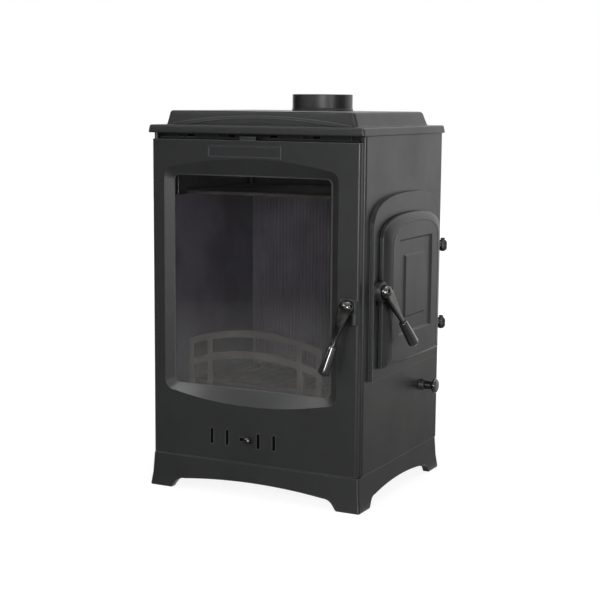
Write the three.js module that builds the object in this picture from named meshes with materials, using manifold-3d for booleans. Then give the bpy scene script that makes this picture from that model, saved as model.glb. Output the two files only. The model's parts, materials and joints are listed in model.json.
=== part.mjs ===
// A free-standing cast-iron wood stove: glass front door, side loading door, four feet and a top flue collar.
// Millimetres, X to the viewer's right, Y away from the viewer, Z up. The stove is drawn about the middle of
// its body on the floor, and at the end it is moved so that the origin is the middle of its footprint.
import * as THREE from 'three';
import { mergeVertices } from 'three/addons/utils/BufferGeometryUtils.js';
import Module from 'manifold-3d';

const wasm = await Module();
wasm.setup();

// ---- Driving dimensions -----------------------------------------------------------------------------------
const FIT = 0.3;              // clearance between pieces that seat on each other
const RUN = 0.6;              // running clearance of pieces that move
const CUT = 2;                // how far a cutter reaches past the face it opens
const ROOT = 1;               // how far a boss or stud is rooted in the piece that carries it

const BODY_WIDTH = 460;
const BODY_DEPTH = 386;
const BODY_HEIGHT = 650;      // from the base casting to the top plate
const WALL = 8;               // side and back castings
const CORNER_R = 5;           // rounded front edge of the side castings

const BASE_HEIGHT = 68;
const BASE_WALL = 9;
const DECK = 8;               // floor of the ash pit
const FLARE = 6;              // how far the feet spread at the floor
const FOOT = 50;              // width of a foot at the floor
const ARCH_RISE = 31;         // middle of the apron's arch above the floor
const HAUNCH_HIGH = 21.7;     // where the arch leaves the foot's inner curve
const HAUNCH_LONG = 32;

const FRAME = 10;             // front frame thickness
const STILE_LEFT = 27;        // front frame, body side to the door opening
const STILE_RIGHT = 50;
const SILL = 16;              // front frame, base to the door opening
const LINTEL = 34;            // front frame, door opening to the top plate

const PLATE = 16;             // top plate edge thickness
const PLATE_CORNER_R = 12;
const LIP = 6.5;              // top plate beyond the body and the door
const HOOD_RISE = 28;
const HOOD_WALL = 8;
const HOOD_SIDE = 23;         // body side to the hood's foot
const HOOD_FRONT = 19;        // door face to the hood's foot
const HOOD_BACK = 26;         // body back to the hood's foot
const HOOD_LEAN = 15;         // how much the hood draws in over its rise
const HOOD_CORNER_R = 7;
const BROW = 2.5;             // raised arch on the hood's front
const BROW_CROWN = 21;
const BROW_FOOT = 3;

const COLLAR_R = 63;
const COLLAR_WALL = 8;
const COLLAR_HEIGHT = 34;
const COLLAR_FLARE = 1.8;     // foot ring beyond the collar
const COLLAR_FOOT = 6;        // height of the foot ring
const COLLAR_EDGE = 1.5;      // softened rim
const COLLAR_SET_BACK = 37;   // collar to the body's back
const COLLAR_BOLT_R = 2.5;
const COLLAR_BOLT_DEEP = 11;
const COLLAR_BOLT_HEAD = 4;

const DOOR = 14.5;            // front door thickness
const DOOR_SEAT = 1.5;        // door back to the frame face
const DOOR_SIDE = 4;          // door edge to the body's right side
const AIR_GAP = 12;           // dark slot between the door and the top plate
const WASHER = 1;
const PLAQUE = { left: -101, right: 60, tall: 24, drop: 10, rim: 3, rise: 1 };

const GLASS = 4;
const GLASS_TAPE = 1.4;       // flat gasket in front of the glass
const GLASS_SUNK = 0.5;       // glass back behind the door back
const GLASS_LAP = 6;          // how far the glass lies behind its opening
const SIGHT_LEFT = 44;        // door edge to the visible glass
const SIGHT_RIGHT = 64;
const SIGHT_FOOT = 151;       // base to the visible glass
const SIGHT_HEAD = 70;        // visible glass to the door's top
const SIGHT_CORNER_R = 12;
const REVEAL = 13;            // how far the sloped reveal widens towards the face
const REVEAL_CORNER_R = 22;
const BOW = 18;               // rise of the curved top and bottom of the reveal

const CLIP = { long: 18, tall: 14, thick: 2.5, heel: 5, inset: 70, screwR: 2, screwDeep: 7, head: 1.6 };

const ROPE = 8;               // rope gasket width and depth
const ROPE_GROOVE = 6.5;
const ROPE_EDGE = 15.5;       // front rope to the door's left edge
const ROPE_FOOT = 4;          // front rope to the door's lower edge
const ROPE_LAP = 4;           // front rope beyond the frame's opening

const PIN_R = 4;              // front door pins
const PIN_GRIP = 20;          // how far a pin reaches into the door
const PIN_SOCKET = 10;        // how far it reaches into the body

const AIR_HOLES = 4;
const AIR_PITCH = 35;
const AIR_WIDTH = 7;
const AIR_TALL = 32;
const AIR_X = -22.5;          // middle of the row, where the knob's slot takes the place of a hole
const AIR_RISE = 49;          // base to the middle of the holes
const AIR_SLIDE = 3;          // thickness of the primary-air slide
const AIR_SLIDE_END = 21;     // slide beyond its last hole
const AIR_SLIDE_EDGE = 7;     // slide above and below its holes
const AIR_TRAVEL = 17.5;
const AIR_STUD_R = 3;
const AIR_STUD = 4;           // knob's stud beyond the door face
const AIR_KNOB_R = 8;
const AIR_KNOB = 13;          // length of the knob
const AIR_KNOB_SHIFT = 14.5;  // knob right of the row's middle while the holes are open
const RETAINER = { tall: 6, thick: 2.4, lap: 4, end: 2 };
const RETAINER_SCREW = { r: 1.6, deep: 5, head: 1.4, in: 8, out: 2 };

const WASH_SLOTS = 4;
const WASH_PITCH = 92;
const WASH_WIDTH = 38;
const WASH_TALL = 4.5;
const WASH_DROP = 1.6;        // slots below the top plate
const WASH_SLIDE = 3;
const WASH_TRAVEL = 20;
const CHANNEL = 4.2;          // height of the slide's channel on the frame
const CHANNEL_LIP = 1.6;
const CHANNEL_END = 5;        // channel to the side castings, clear of the hinge pin
const TAB_WIDTH = 34;
const TAB_X = -11;
const TAB_THICK = 2.4;

const SURROUND_RISE = 9;      // raised frame round the side door
const SURROUND_SIDE = 24;     // side door to the surround's edge, at its sides
const SURROUND_FOOT = 23;
const SURROUND_SHOULDER = 28;
const SURROUND_HEAD = 40;

const LEAF_EDGE = 7.5;        // side door thickness at its rim
const LEAF_BULGE = 8;         // how far its middle stands out
const LEAF_SEAT = 1.2;        // side door back to the surround
const LEAF_HALF = 146;
const LEAF_FOOT = 205;        // base to the side door
const LEAF_STRAIGHT = 247;    // straight length of its side edges
const LEAF_ARCH = 47;         // rise of its crowned top
const LEAF_SHOULDER = 28;     // sloped border from rim to bulge
const LEAF_LAP = 21;          // door over the edge of its opening
const PANEL_SIDE = 56;        // door edge to its sunk panel
const PANEL_FOOT = 52;
const PANEL_HEAD = 44;
const PANEL_SUNK = 3.5;
const PANEL_BEVEL = 9;
const PANEL_CORNER_R = 2;
const FIELD_INSET = 36;       // raised field inside the sunk panel
const FIELD_RISE = 3;
const FIELD_BEVEL = 4;
const SIDE_ROPE_DEEP = 4;     // groove of the side door's rope
const SIDE_ROPE_IN = 7;       // rope's outer edge inside the leaf's edge
const SHIELD = { thick: 4, gap: 7, screwR: 2.5, screwDeep: 6, screwIn: 60, headR: 5, head: 2.5 };

const KNUCKLE_R = 9;
const KNUCKLE = 12.5;         // length of each half of a side hinge
const SIDE_PIN_R = 3;
const SIDE_PIN_HEAD = { r: 5, edge: 1.2, dome: 3.4 };
const HINGE_LOW = 48;         // side door's foot to its lower hinge
const HINGE_HIGH = 35;        // upper hinge below the spring of its arch
const HINGE_OUT = 15;         // hinge axis outside the body side
const HINGE_REACH = 26;       // hinge axis behind the side door's edge

const HUB_R = 14;             // handle hub
const HUB_RISE = 15;
const HUB_BORE = 8;
const ARM = 74;               // hub to grip
const ARM_THICK = 9;
const ARM_LIFT = 21;          // how far the arm's end stands off the hub's seat
const GRIP = 58;
const GRIP_R = 11;
const GRIP_NECK_R = 8.5;
const GRIP_EDGE = 2;          // softened neck edge
const GRIP_LEAN = 11;         // degrees
const TANG_R = 3;             // stud of the arm inside the grip
const TANG = 16;
const SPINDLE_R = 5;
const SPINDLE_END = 1;        // spindle beyond its nut
const TONGUE = 26;            // spindle axis to the tongue's end
const TONGUE_WIDTH = 9;
const TONGUE_THICK = 4.5;
const TONGUE_EYE = 3;         // eye of the tongue round its spindle
const NUT_R = 7.2;
const NUT = 4;
const SLOT_SIDE = 2;          // room beside the nut in a latch slot
const FRONT_BOSS = 9;         // latch boss on the front door
const FRONT_HUB_IN = 24;      // hub inside the body's right side
const FRONT_HUB_RISE = 332;   // base to the hub
const FRONT_HANG = -15;       // degrees from plumb
const SIDE_HUB_OUT = 4;       // hub in front of the side door's edge
const SIDE_HUB_RISE = 151;    // side door's foot to the hub
const SIDE_HANG = 35;
const SIDE_LUG_R = 20;
const SIDE_LUG_RISE = 12;

const LINER = 7.5;            // side and rear firebox plates
const LINER_CLEAR = 0.9;      // side plates to the side latch
const LINER_DROP = 126;       // top plate to the top of the firebox plates
const REAR_GAP = 4;
const REAR_LINER = 16;
const FLUTE_PITCH = 8.2;
const FLUTE_DEEP = 3;
const FLUTE_END = 4;          // plain margin beside the flutes
const PORT_CORNER_R = 12;
const HEARTH_RISE = 124;      // base to the top of the grate bearers
const BEARER = 8;
const BEARER_LAP = 12;        // bearer under the grate
const LEDGE = 10;             // rib inside the side castings that carries the hearth
const FIREBOX_CLEAR = 7.9;    // side plates to the front latch

const GRATE = 12;
const GRATE_SPACE = 3.5;      // grate end to the side plate at the end of its travel
const GRATE_FRONT_GAP = 67;   // firebox front to the grate
const GRATE_BACK_GAP = 47;
const GRATE_BORDER = 10;
const GRATE_HEAD = 14;        // slots to the grate's front edge
const GRATE_SLOTS = 12;
const GRATE_SLOT = 9;
const RIDDLE_TRAVEL = 20;
const ROD_R = 4;
const ROD_SOCKET = 14;
const ROD_IN = 15;            // rod to the grate's back edge
const ROD_MARGIN = 8;         // rod to the grate's slots
const KNOB_R = 15;
const KNOB = 9;
const KNOB_NECK = 12;
const KNOB_EDGE = 2.5;
const KNOB_OUT = 37;          // knob's outer face to the body side
const ROD_BOSS_R = 10;
const ROD_BOSS = 9;

const GUARD = 6;              // log guard thickness
const GUARD_HALF = 150;
const GUARD_X = -17;
const GUARD_CROWN = 139;      // rise of the guard's top rail above the hearth
const GUARD_SHOULDER = 112;
const GUARD_RAIL = 15;
const GUARD_GAP = 28;         // between its two rails
const GUARD_FOOT = 9;         // lowest bar
const GUARD_POST = 12;
const GUARD_POST_AT = 101;    // middle of the guard to each inner post

const BAFFLE = 7;
const BAFFLE_GAP = 60;        // firebox front to the baffle
const PAN = { half: 150, frontGap: 33, backGap: 83, rise: 74, wall: 2 };
const LOOP = { half: 35, out: 16, thick: 3, bar: 5, side: 8, root: 3, at: 0.6 };
const TIE_R = 2.5;
const TIE_HEAD_R = 5;
const TIE_HEAD = 5;
const TIE_CLEAR = 0.7;        // tie bolts to the side plates
const TIE_BESIDE = 6;         // front tie bolts to the side door's opening
const TIE_BACK = 17.5;        // rear tie bolts to the body's back
const TIE_THREAD = 9;         // tie bolt inside the top plate

// ---- Levels and faces worked out from them ----------------------------------------------------------------
const SIDE = BODY_WIDTH / 2;
const FRONT = -BODY_DEPTH / 2;
const BACK = BODY_DEPTH / 2;
const INSIDE = SIDE - WALL;
const BODY_TOP = BASE_HEIGHT + BODY_HEIGHT;
const PANEL_LOW = BASE_HEIGHT + FIT;
const PANEL_HIGH = BODY_TOP - FIT;
const DOOR_BACK = FRONT - DOOR_SEAT;
const DOOR_FACE = DOOR_BACK - DOOR;
const DOOR_LEFT = -SIDE;
const DOOR_RIGHT = SIDE - DOOR_SIDE;
const DOOR_BOTTOM = BASE_HEIGHT + FIT + WASHER + FIT;
const DOOR_TOP = BODY_TOP - AIR_GAP;
const PLATE_TOP = BODY_TOP + PLATE;
const HOOD_TOP = PLATE_TOP + HOOD_RISE;
const COLLAR_Y = BACK - COLLAR_SET_BACK - COLLAR_R;
const OPENING = {
  left: -SIDE + STILE_LEFT,
  right: SIDE - STILE_RIGHT,
  bottom: BASE_HEIGHT + SILL,
  top: BODY_TOP - LINTEL,
};
const SIGHT = {
  left: DOOR_LEFT + SIGHT_LEFT,
  right: DOOR_RIGHT - SIGHT_RIGHT,
  bottom: BASE_HEIGHT + SIGHT_FOOT,
  top: DOOR_TOP - SIGHT_HEAD,
};
const GLASS_BACK = DOOR_BACK + GLASS_SUNK;
const GLASS_FRONT = GLASS_BACK - GLASS;
const TAPE_FRONT = GLASS_FRONT - FIT - GLASS_TAPE;
const REBATE = TAPE_FRONT - FIT;
const HINGE_R = DOOR / 2;
const HINGE_X = DOOR_LEFT + HINGE_R;
const HINGE_Y = DOOR_BACK - HINGE_R;
const AIR_Z = BASE_HEIGHT + AIR_RISE;
const KNOB_X = AIR_X + AIR_KNOB_SHIFT;
const CHANNEL_FLOOR = DOOR_TOP + RUN;
const CHANNEL_TOP = CHANNEL_FLOOR + CHANNEL;
const CHANNEL_DEEP = WASH_SLIDE + 2 * FIT;
const LEAF_BOTTOM = BASE_HEIGHT + LEAF_FOOT;
const LEAF_SPRING = LEAF_BOTTOM + LEAF_STRAIGHT;
const LEAF_CROWN = LEAF_SPRING + LEAF_ARCH;
const SURROUND_FACE = SIDE + SURROUND_RISE;
const LEAF_BACK = SURROUND_FACE + LEAF_SEAT;
const LEAF_RIM = LEAF_BACK + LEAF_EDGE;
const LEAF_FACE = LEAF_RIM + LEAF_BULGE;
const SIDE_OPENING = {
  half: LEAF_HALF - LEAF_LAP,
  bottom: LEAF_BOTTOM + LEAF_LAP,
  spring: LEAF_SPRING - LEAF_LAP / 2,
  crown: LEAF_CROWN - LEAF_LAP,
};
const SIDE_AXIS = { x: SIDE + HINGE_OUT, y: LEAF_HALF + HINGE_REACH };
const SIDE_HINGE_Z = [LEAF_BOTTOM + HINGE_LOW, LEAF_SPRING - HINGE_HIGH];
const FRONT_HUB = { x: SIDE - FRONT_HUB_IN, z: BASE_HEIGHT + FRONT_HUB_RISE };
const SIDE_HUB = { y: -LEAF_HALF - SIDE_HUB_OUT, z: LEAF_BOTTOM + SIDE_HUB_RISE };
const LATCH_REACH = TONGUE_THICK + FIT + NUT + SPINDLE_END;
const REAR_FACE = BACK - WALL - REAR_GAP - REAR_LINER;
const REAR_BACK = REAR_FACE + REAR_LINER;
const LINER_OUT = INSIDE - FIT - LATCH_REACH - LINER_CLEAR;
const LINER_FACE = LINER_OUT - LINER;
const LINER_TOP = BODY_TOP - LINER_DROP;
const FIREBOX_FRONT = FRONT + FRAME + FIT + LATCH_REACH + FIREBOX_CLEAR;
const HEARTH_Z = BASE_HEIGHT + HEARTH_RISE;
const GRATE_Z = HEARTH_Z + FIT;
const GRATE_LEFT = -LINER_FACE + GRATE_SPACE;
const GRATE_RIGHT = LINER_FACE - GRATE_SPACE - RIDDLE_TRAVEL;
const GRATE_FRONT = FIREBOX_FRONT + GRATE_FRONT_GAP;
const GRATE_BACK = REAR_FACE - GRATE_BACK_GAP;
const ROD = { y: GRATE_BACK - ROD_IN, z: GRATE_Z + GRATE / 2 };

// ---- Materials --------------------------------------------------------------------------------------------
const finish = (color, roughness, metalness, extra = {}) =>
  () => new THREE.MeshStandardMaterial({ color, roughness, metalness, flatShading: true, ...extra });
const blackIron = finish(0x3c3d3f, 0.62, 0.25);
const rawIron = finish(0x4a4744, 0.85, 0.3);
const plateIron = finish(0x55534f, 0.8, 0.2);
const nickel = finish(0x8d8f90, 0.3, 0.9);
const blackNickel = finish(0x1c1c20, 0.12, 0.8);
const steel = finish(0x7a7b7c, 0.45, 0.85);
const ropeFibre = finish(0x8b877d, 0.95, 0);
const ceramicGlass = finish(0x6a6460, 0.05, 0, { transparent: true, opacity: 0.35 });

// ---- Shapes -----------------------------------------------------------------------------------------------
const AXES = {
  x: [new THREE.Vector3(0, 1, 0), new THREE.Vector3(0, 0, 1), new THREE.Vector3(1, 0, 0)],
  y: [new THREE.Vector3(1, 0, 0), new THREE.Vector3(0, 0, 1), new THREE.Vector3(0, -1, 0)],
  z: [new THREE.Vector3(1, 0, 0), new THREE.Vector3(0, 1, 0), new THREE.Vector3(0, 0, 1)],
};

// Turns a shape drawn in a plane so that its normal lies along an axis of the stove.
function facing(geometry, axis) {
  return geometry.applyMatrix4(new THREE.Matrix4().makeBasis(...AXES[axis]));
}

function box(x0, x1, y0, y1, z0, z1) {
  const geometry = new THREE.BoxGeometry(x1 - x0, y1 - y0, z1 - z0);
  return geometry.translate((x0 + x1) / 2, (y0 + y1) / 2, (z0 + z1) / 2);
}

// A shape drawn in (y, z), (x, z) or (x, y) and carried from one level to another along the third axis.
function prism(shape, axis, from, to, curveSegments = 3) {
  const geometry = new THREE.ExtrudeGeometry(shape, { depth: to - from, bevelEnabled: false, curveSegments });
  facing(geometry, axis);
  if (axis === 'x') return geometry.translate(from, 0, 0);
  if (axis === 'y') return geometry.translate(0, to, 0);
  return geometry.translate(0, 0, from);
}

function round(radius, axis, from, to, centre, sides = 20) {
  const shape = new THREE.Shape();
  shape.absarc(0, 0, radius, 0, Math.PI * 2);
  const geometry = prism(shape, axis, from, to, sides / 2);
  return geometry.translate(...centre);
}

function roundedRect(x0, x1, y0, y1, r) {
  const shape = new THREE.Shape();
  shape.moveTo(x0 + r, y0);
  shape.lineTo(x1 - r, y0);
  shape.absarc(x1 - r, y0 + r, r, -Math.PI / 2, 0);
  shape.lineTo(x1, y1 - r);
  shape.absarc(x1 - r, y1 - r, r, 0, Math.PI / 2);
  shape.lineTo(x0 + r, y1);
  shape.absarc(x0 + r, y1 - r, r, Math.PI / 2, Math.PI);
  shape.lineTo(x0, y0 + r);
  shape.absarc(x0 + r, y0 + r, r, Math.PI, Math.PI * 1.5);
  return shape;
}

// An upright panel with a flat foot and a crowned top.
function archedPanel({ half, bottom, spring, crown }) {
  const rise = crown - spring;
  const shape = new THREE.Shape();
  shape.moveTo(-half, bottom);
  shape.lineTo(half, bottom);
  shape.lineTo(half, spring);
  shape.bezierCurveTo(half, spring + 0.8 * rise, 0.56 * half, crown, 0, crown);
  shape.bezierCurveTo(-0.56 * half, crown, -half, spring + 0.8 * rise, -half, spring);
  return shape;
}

// A window outline with bowed top and bottom edges and soft corners.
function windowOutline({ left, right, bottom, top }, grow, bow, r) {
  const x0 = left - grow;
  const x1 = right + grow;
  const y0 = bottom - grow;
  const y1 = top + grow;
  const middle = (x0 + x1) / 2;
  const shape = new THREE.Shape();
  shape.moveTo(x0 + r, y0);
  shape.quadraticCurveTo(middle, y0 - 2 * bow, x1 - r, y0);
  shape.quadraticCurveTo(x1, y0, x1, y0 + r);
  shape.lineTo(x1, y1 - r);
  shape.quadraticCurveTo(x1, y1, x1 - r, y1);
  shape.quadraticCurveTo(middle, y1 + 2 * bow, x0 + r, y1);
  shape.quadraticCurveTo(x0, y1, x0, y1 - r);
  shape.lineTo(x0, y0 + r);
  shape.quadraticCurveTo(x0, y0, x0 + r, y0);
  return shape;
}

function signedVolume(geometry) {
  const position = geometry.attributes.position;
  const [a, b, c] = [new THREE.Vector3(), new THREE.Vector3(), new THREE.Vector3()];
  let volume = 0;
  for (let i = 0; i < geometry.index.count; i += 3) {
    a.fromBufferAttribute(position, geometry.index.getX(i));
    b.fromBufferAttribute(position, geometry.index.getX(i + 1));
    c.fromBufferAttribute(position, geometry.index.getX(i + 2));
    volume += a.dot(b.cross(c)) / 6;
  }
  return volume;
}

// The corners of an outline, with as many points for every outline that is drawn in the same steps.
function outlinePoints(shape, divisions) {
  const steps = shape.curves.filter((curve) => curve.getLength() > 1e-6);
  const points = steps.flatMap((curve) => curve.getPoints(curve.isLineCurve ? 1 : divisions).slice(0, -1));
  const end = steps.at(-1).getPoint(1);
  return end.distanceTo(points[0]) < 1e-6 ? points : [...points, end];
}

// A closed skin over outlines that have as many points each, stacked along an axis.
function loft(sections, axis, divisions = 6) {
  const outlines = sections.map(([shape]) => outlinePoints(shape, divisions));
  const count = outlines[0].length;
  const [u, v, w] = AXES[axis];
  const positions = [];
  sections.forEach(([, level], s) => {
    for (const p of outlines[s]) {
      const point = new THREE.Vector3();
      point.addScaledVector(u, p.x).addScaledVector(v, p.y).addScaledVector(w, axis === 'y' ? -level : level);
      positions.push(point.x, point.y, point.z);
    }
  });
  const index = [];
  for (let s = 0; s + 1 < sections.length; s += 1) {
    for (let i = 0; i < count; i += 1) {
      const a = s * count + i;
      const b = s * count + ((i + 1) % count);
      index.push(a, b, b + count, a, b + count, a + count);
    }
  }
  const last = (sections.length - 1) * count;
  for (const [a, b, c] of THREE.ShapeUtils.triangulateShape(outlines[0], [])) index.push(c, b, a);
  for (const [a, b, c] of THREE.ShapeUtils.triangulateShape(outlines.at(-1), [])) {
    index.push(last + a, last + b, last + c);
  }
  const geometry = new THREE.BufferGeometry();
  geometry.setAttribute('position', new THREE.Float32BufferAttribute(positions, 3));
  geometry.setIndex(index);
  if (signedVolume(geometry) < 0) geometry.setIndex(index.reverse());
  return geometry;
}

// A turned piece: a closed profile of (radius, height) points about the vertical axis.
function turned(profile, sides = 32) {
  const geometry = new THREE.LatheGeometry(profile.map(([r, h]) => new THREE.Vector2(r, h)), sides);
  return geometry.applyMatrix4(new THREE.Matrix4().makeRotationX(Math.PI / 2));
}

// ---- Joining and cutting ----------------------------------------------------------------------------------
function solid(geometry) {
  const bare = geometry.clone();
  bare.deleteAttribute('normal');
  bare.deleteAttribute('uv');
  const merged = mergeVertices(bare, 1e-4);
  if (signedVolume(merged) < 0) merged.setIndex(Array.from(merged.index.array).reverse());
  const vertProperties = new Float32Array(merged.attributes.position.array);
  const triVerts = new Uint32Array(merged.index.array);
  return new wasm.Manifold(new wasm.Mesh({ numProp: 3, vertProperties, triVerts }));
}

function surface(manifold) {
  const { vertProperties, triVerts } = manifold.getMesh();
  const geometry = new THREE.BufferGeometry();
  geometry.setAttribute('position', new THREE.BufferAttribute(vertProperties, 3));
  geometry.setIndex(new THREE.BufferAttribute(triVerts, 1));
  return geometry;
}

function shaped(first, { add = [], cut = [] }) {
  let body = solid(first);
  for (const geometry of add) body = body.add(solid(geometry));
  for (const geometry of cut) body = body.subtract(solid(geometry));
  return surface(body);
}

const stove = new THREE.Group();

function piece(name, geometry, material, parent = stove) {
  const mesh = new THREE.Mesh(geometry, material());
  mesh.name = name;
  parent.add(mesh);
  return mesh;
}

// ---- Base casting: deck, aprons with shallow arches, four spreading feet ----------------------------------
function footprint(grow) {
  const [x, front, back] = [SIDE + grow, DOOR_FACE - grow, BACK + grow];
  return roundedRect(-x, x, front, back, CORNER_R + grow);
}

// The open space under an apron between two feet whose inner edges stand at from and to.
function apronArch(from, to) {
  const [long, high] = [HAUNCH_LONG, HAUNCH_HIGH];
  const shape = new THREE.Shape();
  shape.moveTo(from - CUT, -CUT);
  shape.lineTo(from, 0);
  shape.bezierCurveTo(from + 0.3 * long, 0.55 * high, from + 0.4 * long, high, from + long, high);
  shape.quadraticCurveTo((from + to) / 2, 2 * ARCH_RISE - high, to - long, high);
  shape.bezierCurveTo(to - 0.4 * long, high, to - 0.3 * long, 0.55 * high, to, 0);
  shape.lineTo(to + CUT, -CUT);
  return shape;
}

function baseCasting() {
  const outer = loft([
    [footprint(FLARE), 0],
    [footprint(FLARE * 0.4), BASE_HEIGHT * 0.4],
    [footprint(0), BASE_HEIGHT],
  ], 'z');
  const hollow = box(
    -SIDE + BASE_WALL, SIDE - BASE_WALL, DOOR_FACE + BASE_WALL, BACK - BASE_WALL, -CUT, BASE_HEIGHT - DECK,
  );
  const acrossX = apronArch(-SIDE - FLARE + FOOT, SIDE + FLARE - FOOT);
  const acrossY = apronArch(DOOR_FACE - FLARE + FOOT, BACK + FLARE - FOOT);
  return shaped(outer, {
    cut: [
      hollow,
      prism(acrossX, 'y', DOOR_FACE - FLARE - CUT, BACK + FLARE + CUT, 8),
      prism(acrossY, 'x', -SIDE - FLARE - CUT, SIDE + FLARE + CUT, 8),
      pinHole(BASE_HEIGHT - PIN_SOCKET - FIT, BASE_HEIGHT + CUT),
      ...tieHoles(0, BASE_HEIGHT + CUT),
    ],
  });
}

// ---- Body castings ----------------------------------------------------------------------------------------
function sidePlan(sign) {
  const shape = new THREE.Shape();
  const outer = sign * SIDE;
  const inner = sign * INSIDE;
  const corner = outer - sign * CORNER_R;
  shape.moveTo(inner, FRONT);
  shape.lineTo(corner, FRONT);
  shape.absarc(corner, FRONT + CORNER_R, CORNER_R, -Math.PI / 2, sign > 0 ? 0 : -Math.PI, sign < 0);
  shape.lineTo(outer, BACK);
  shape.lineTo(inner, BACK);
  return shape;
}

// The rib inside a side casting that carries the grate bearers and the lining plates.
function hearthLedge(sign) {
  const [from, to] = sign > 0 ? [INSIDE - LEDGE, INSIDE + ROOT] : [-INSIDE - ROOT, -INSIDE + LEDGE];
  const top = HEARTH_Z - BEARER - FIT;
  return box(from, to, FIREBOX_FRONT - LEDGE / 2, REAR_FACE, top - LEDGE, top);
}

function leftSide() {
  return shaped(prism(sidePlan(-1), 'z', PANEL_LOW, PANEL_HIGH), {
    add: [hearthLedge(-1)],
    cut: tieHoles(PANEL_LOW, PANEL_HIGH),
  });
}

// A round cut or boss about the side door's hinge axis.
function onSideAxis(radius, from, to, sides) {
  return round(radius, 'z', from, to, [SIDE_AXIS.x, SIDE_AXIS.y, 0], sides);
}

function rightSide() {
  const surround = archedPanel({
    half: LEAF_HALF + SURROUND_SIDE,
    bottom: LEAF_BOTTOM - SURROUND_FOOT,
    spring: LEAF_SPRING + SURROUND_SHOULDER,
    crown: LEAF_CROWN + SURROUND_HEAD,
  });
  const { x, y } = SIDE_AXIS;
  const web = KNUCKLE_R * 2 / 3;
  const knuckles = SIDE_HINGE_Z.flatMap((z) => [
    onSideAxis(KNUCKLE_R, z - KNUCKLE, z - FIT / 2),
    box(SIDE - ROOT, x, y - web, y + web, z - KNUCKLE, z - FIT / 2),
  ]);
  return shaped(prism(sidePlan(1), 'z', PANEL_LOW, PANEL_HIGH), {
    add: [
      prism(surround, 'x', SIDE - ROOT, SURROUND_FACE, 10),
      round(ROD_BOSS_R, 'x', SIDE - ROOT, SIDE + ROD_BOSS, [0, ROD.y, ROD.z]),
      hearthLedge(1),
      ...knuckles,
    ],
    cut: [
      prism(archedPanel(SIDE_OPENING), 'x', INSIDE - CUT, SURROUND_FACE + CUT, 8),
      latchSlot('x', SIDE_HUB.y, SIDE_HUB.z, INSIDE - CUT, SURROUND_FACE + CUT),
      round(ROD_R + RUN, 'x', INSIDE - CUT, SIDE + ROD_BOSS + CUT, [0, ROD.y, ROD.z]),
      ...SIDE_HINGE_Z.map((z) => onSideAxis(KNUCKLE_R + RUN, z - FIT / 2, z + KNUCKLE + RUN)),
      ...SIDE_HINGE_Z.map((z) => onSideAxis(SIDE_PIN_R + FIT, z - KNUCKLE - CUT, z + CUT)),
      ...tieHoles(PANEL_LOW, PANEL_HIGH),
    ],
  });
}

// The upright slot that a latch tongue and its nut pass through while the handle hangs down.
function latchSlot(axis, across, up, from, to) {
  const half = NUT_R + SLOT_SIDE;
  const shape = roundedRect(across - half, across + half, up - TONGUE - SLOT_SIDE, up + half, SLOT_SIDE);
  return prism(shape, axis, from, to, 3);
}

// One row of air slots across the frame or its slide.
function washSlots(shift, y0, y1) {
  const top = BODY_TOP - WASH_DROP;
  return Array.from({ length: WASH_SLOTS }, (_, i) => {
    const x = (i - (WASH_SLOTS - 1) / 2) * WASH_PITCH + shift;
    return box(x - WASH_WIDTH / 2, x + WASH_WIDTH / 2, y0 - CUT, y1 + CUT, top - WASH_TALL, top);
  });
}

function frontFrame() {
  const inner = INSIDE - FIT;
  const channel = inner - CHANNEL_END;
  const outerFace = FRONT - CHANNEL_DEEP - CHANNEL_LIP;
  return shaped(box(-inner, inner, FRONT, FRONT + FRAME, PANEL_LOW, PANEL_HIGH), {
    add: [
      box(-channel, channel, outerFace, FRONT + ROOT, CHANNEL_FLOOR, CHANNEL_FLOOR + CHANNEL_LIP),
      box(-channel, channel, outerFace, outerFace + CHANNEL_LIP, CHANNEL_FLOOR, CHANNEL_TOP),
    ],
    cut: [
      box(OPENING.left, OPENING.right, FRONT - CUT, FRONT + FRAME + CUT, OPENING.bottom, OPENING.top),
      latchSlot('y', FRONT_HUB.x, FRONT_HUB.z, FRONT - CUT, FRONT + FRAME + CUT),
      ...washSlots(0, FRONT, FRONT + FRAME),
    ],
  });
}

function backPanel() {
  const inner = INSIDE - FIT;
  return box(-inner, inner, BACK - WALL, BACK, PANEL_LOW, PANEL_HIGH);
}

// ---- Top plate with its hood ------------------------------------------------------------------------------
function plateOutline(inset) {
  const [x, front, back] = [SIDE + LIP - inset, DOOR_FACE - LIP + inset, BACK + LIP - inset];
  return roundedRect(-x, x, front, back, PLATE_CORNER_R - inset);
}

function hoodOutline(inset) {
  const x = SIDE - HOOD_SIDE - inset;
  return roundedRect(-x, x, DOOR_FACE + HOOD_FRONT + inset, BACK - HOOD_BACK - inset / 3, HOOD_CORNER_R);
}

// The hood's outline after a share of its lean, at a share of its rise.
function hoodRing(lean, rise) {
  return [hoodOutline(HOOD_LEAN * lean), PLATE_TOP + HOOD_RISE * rise];
}

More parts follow.
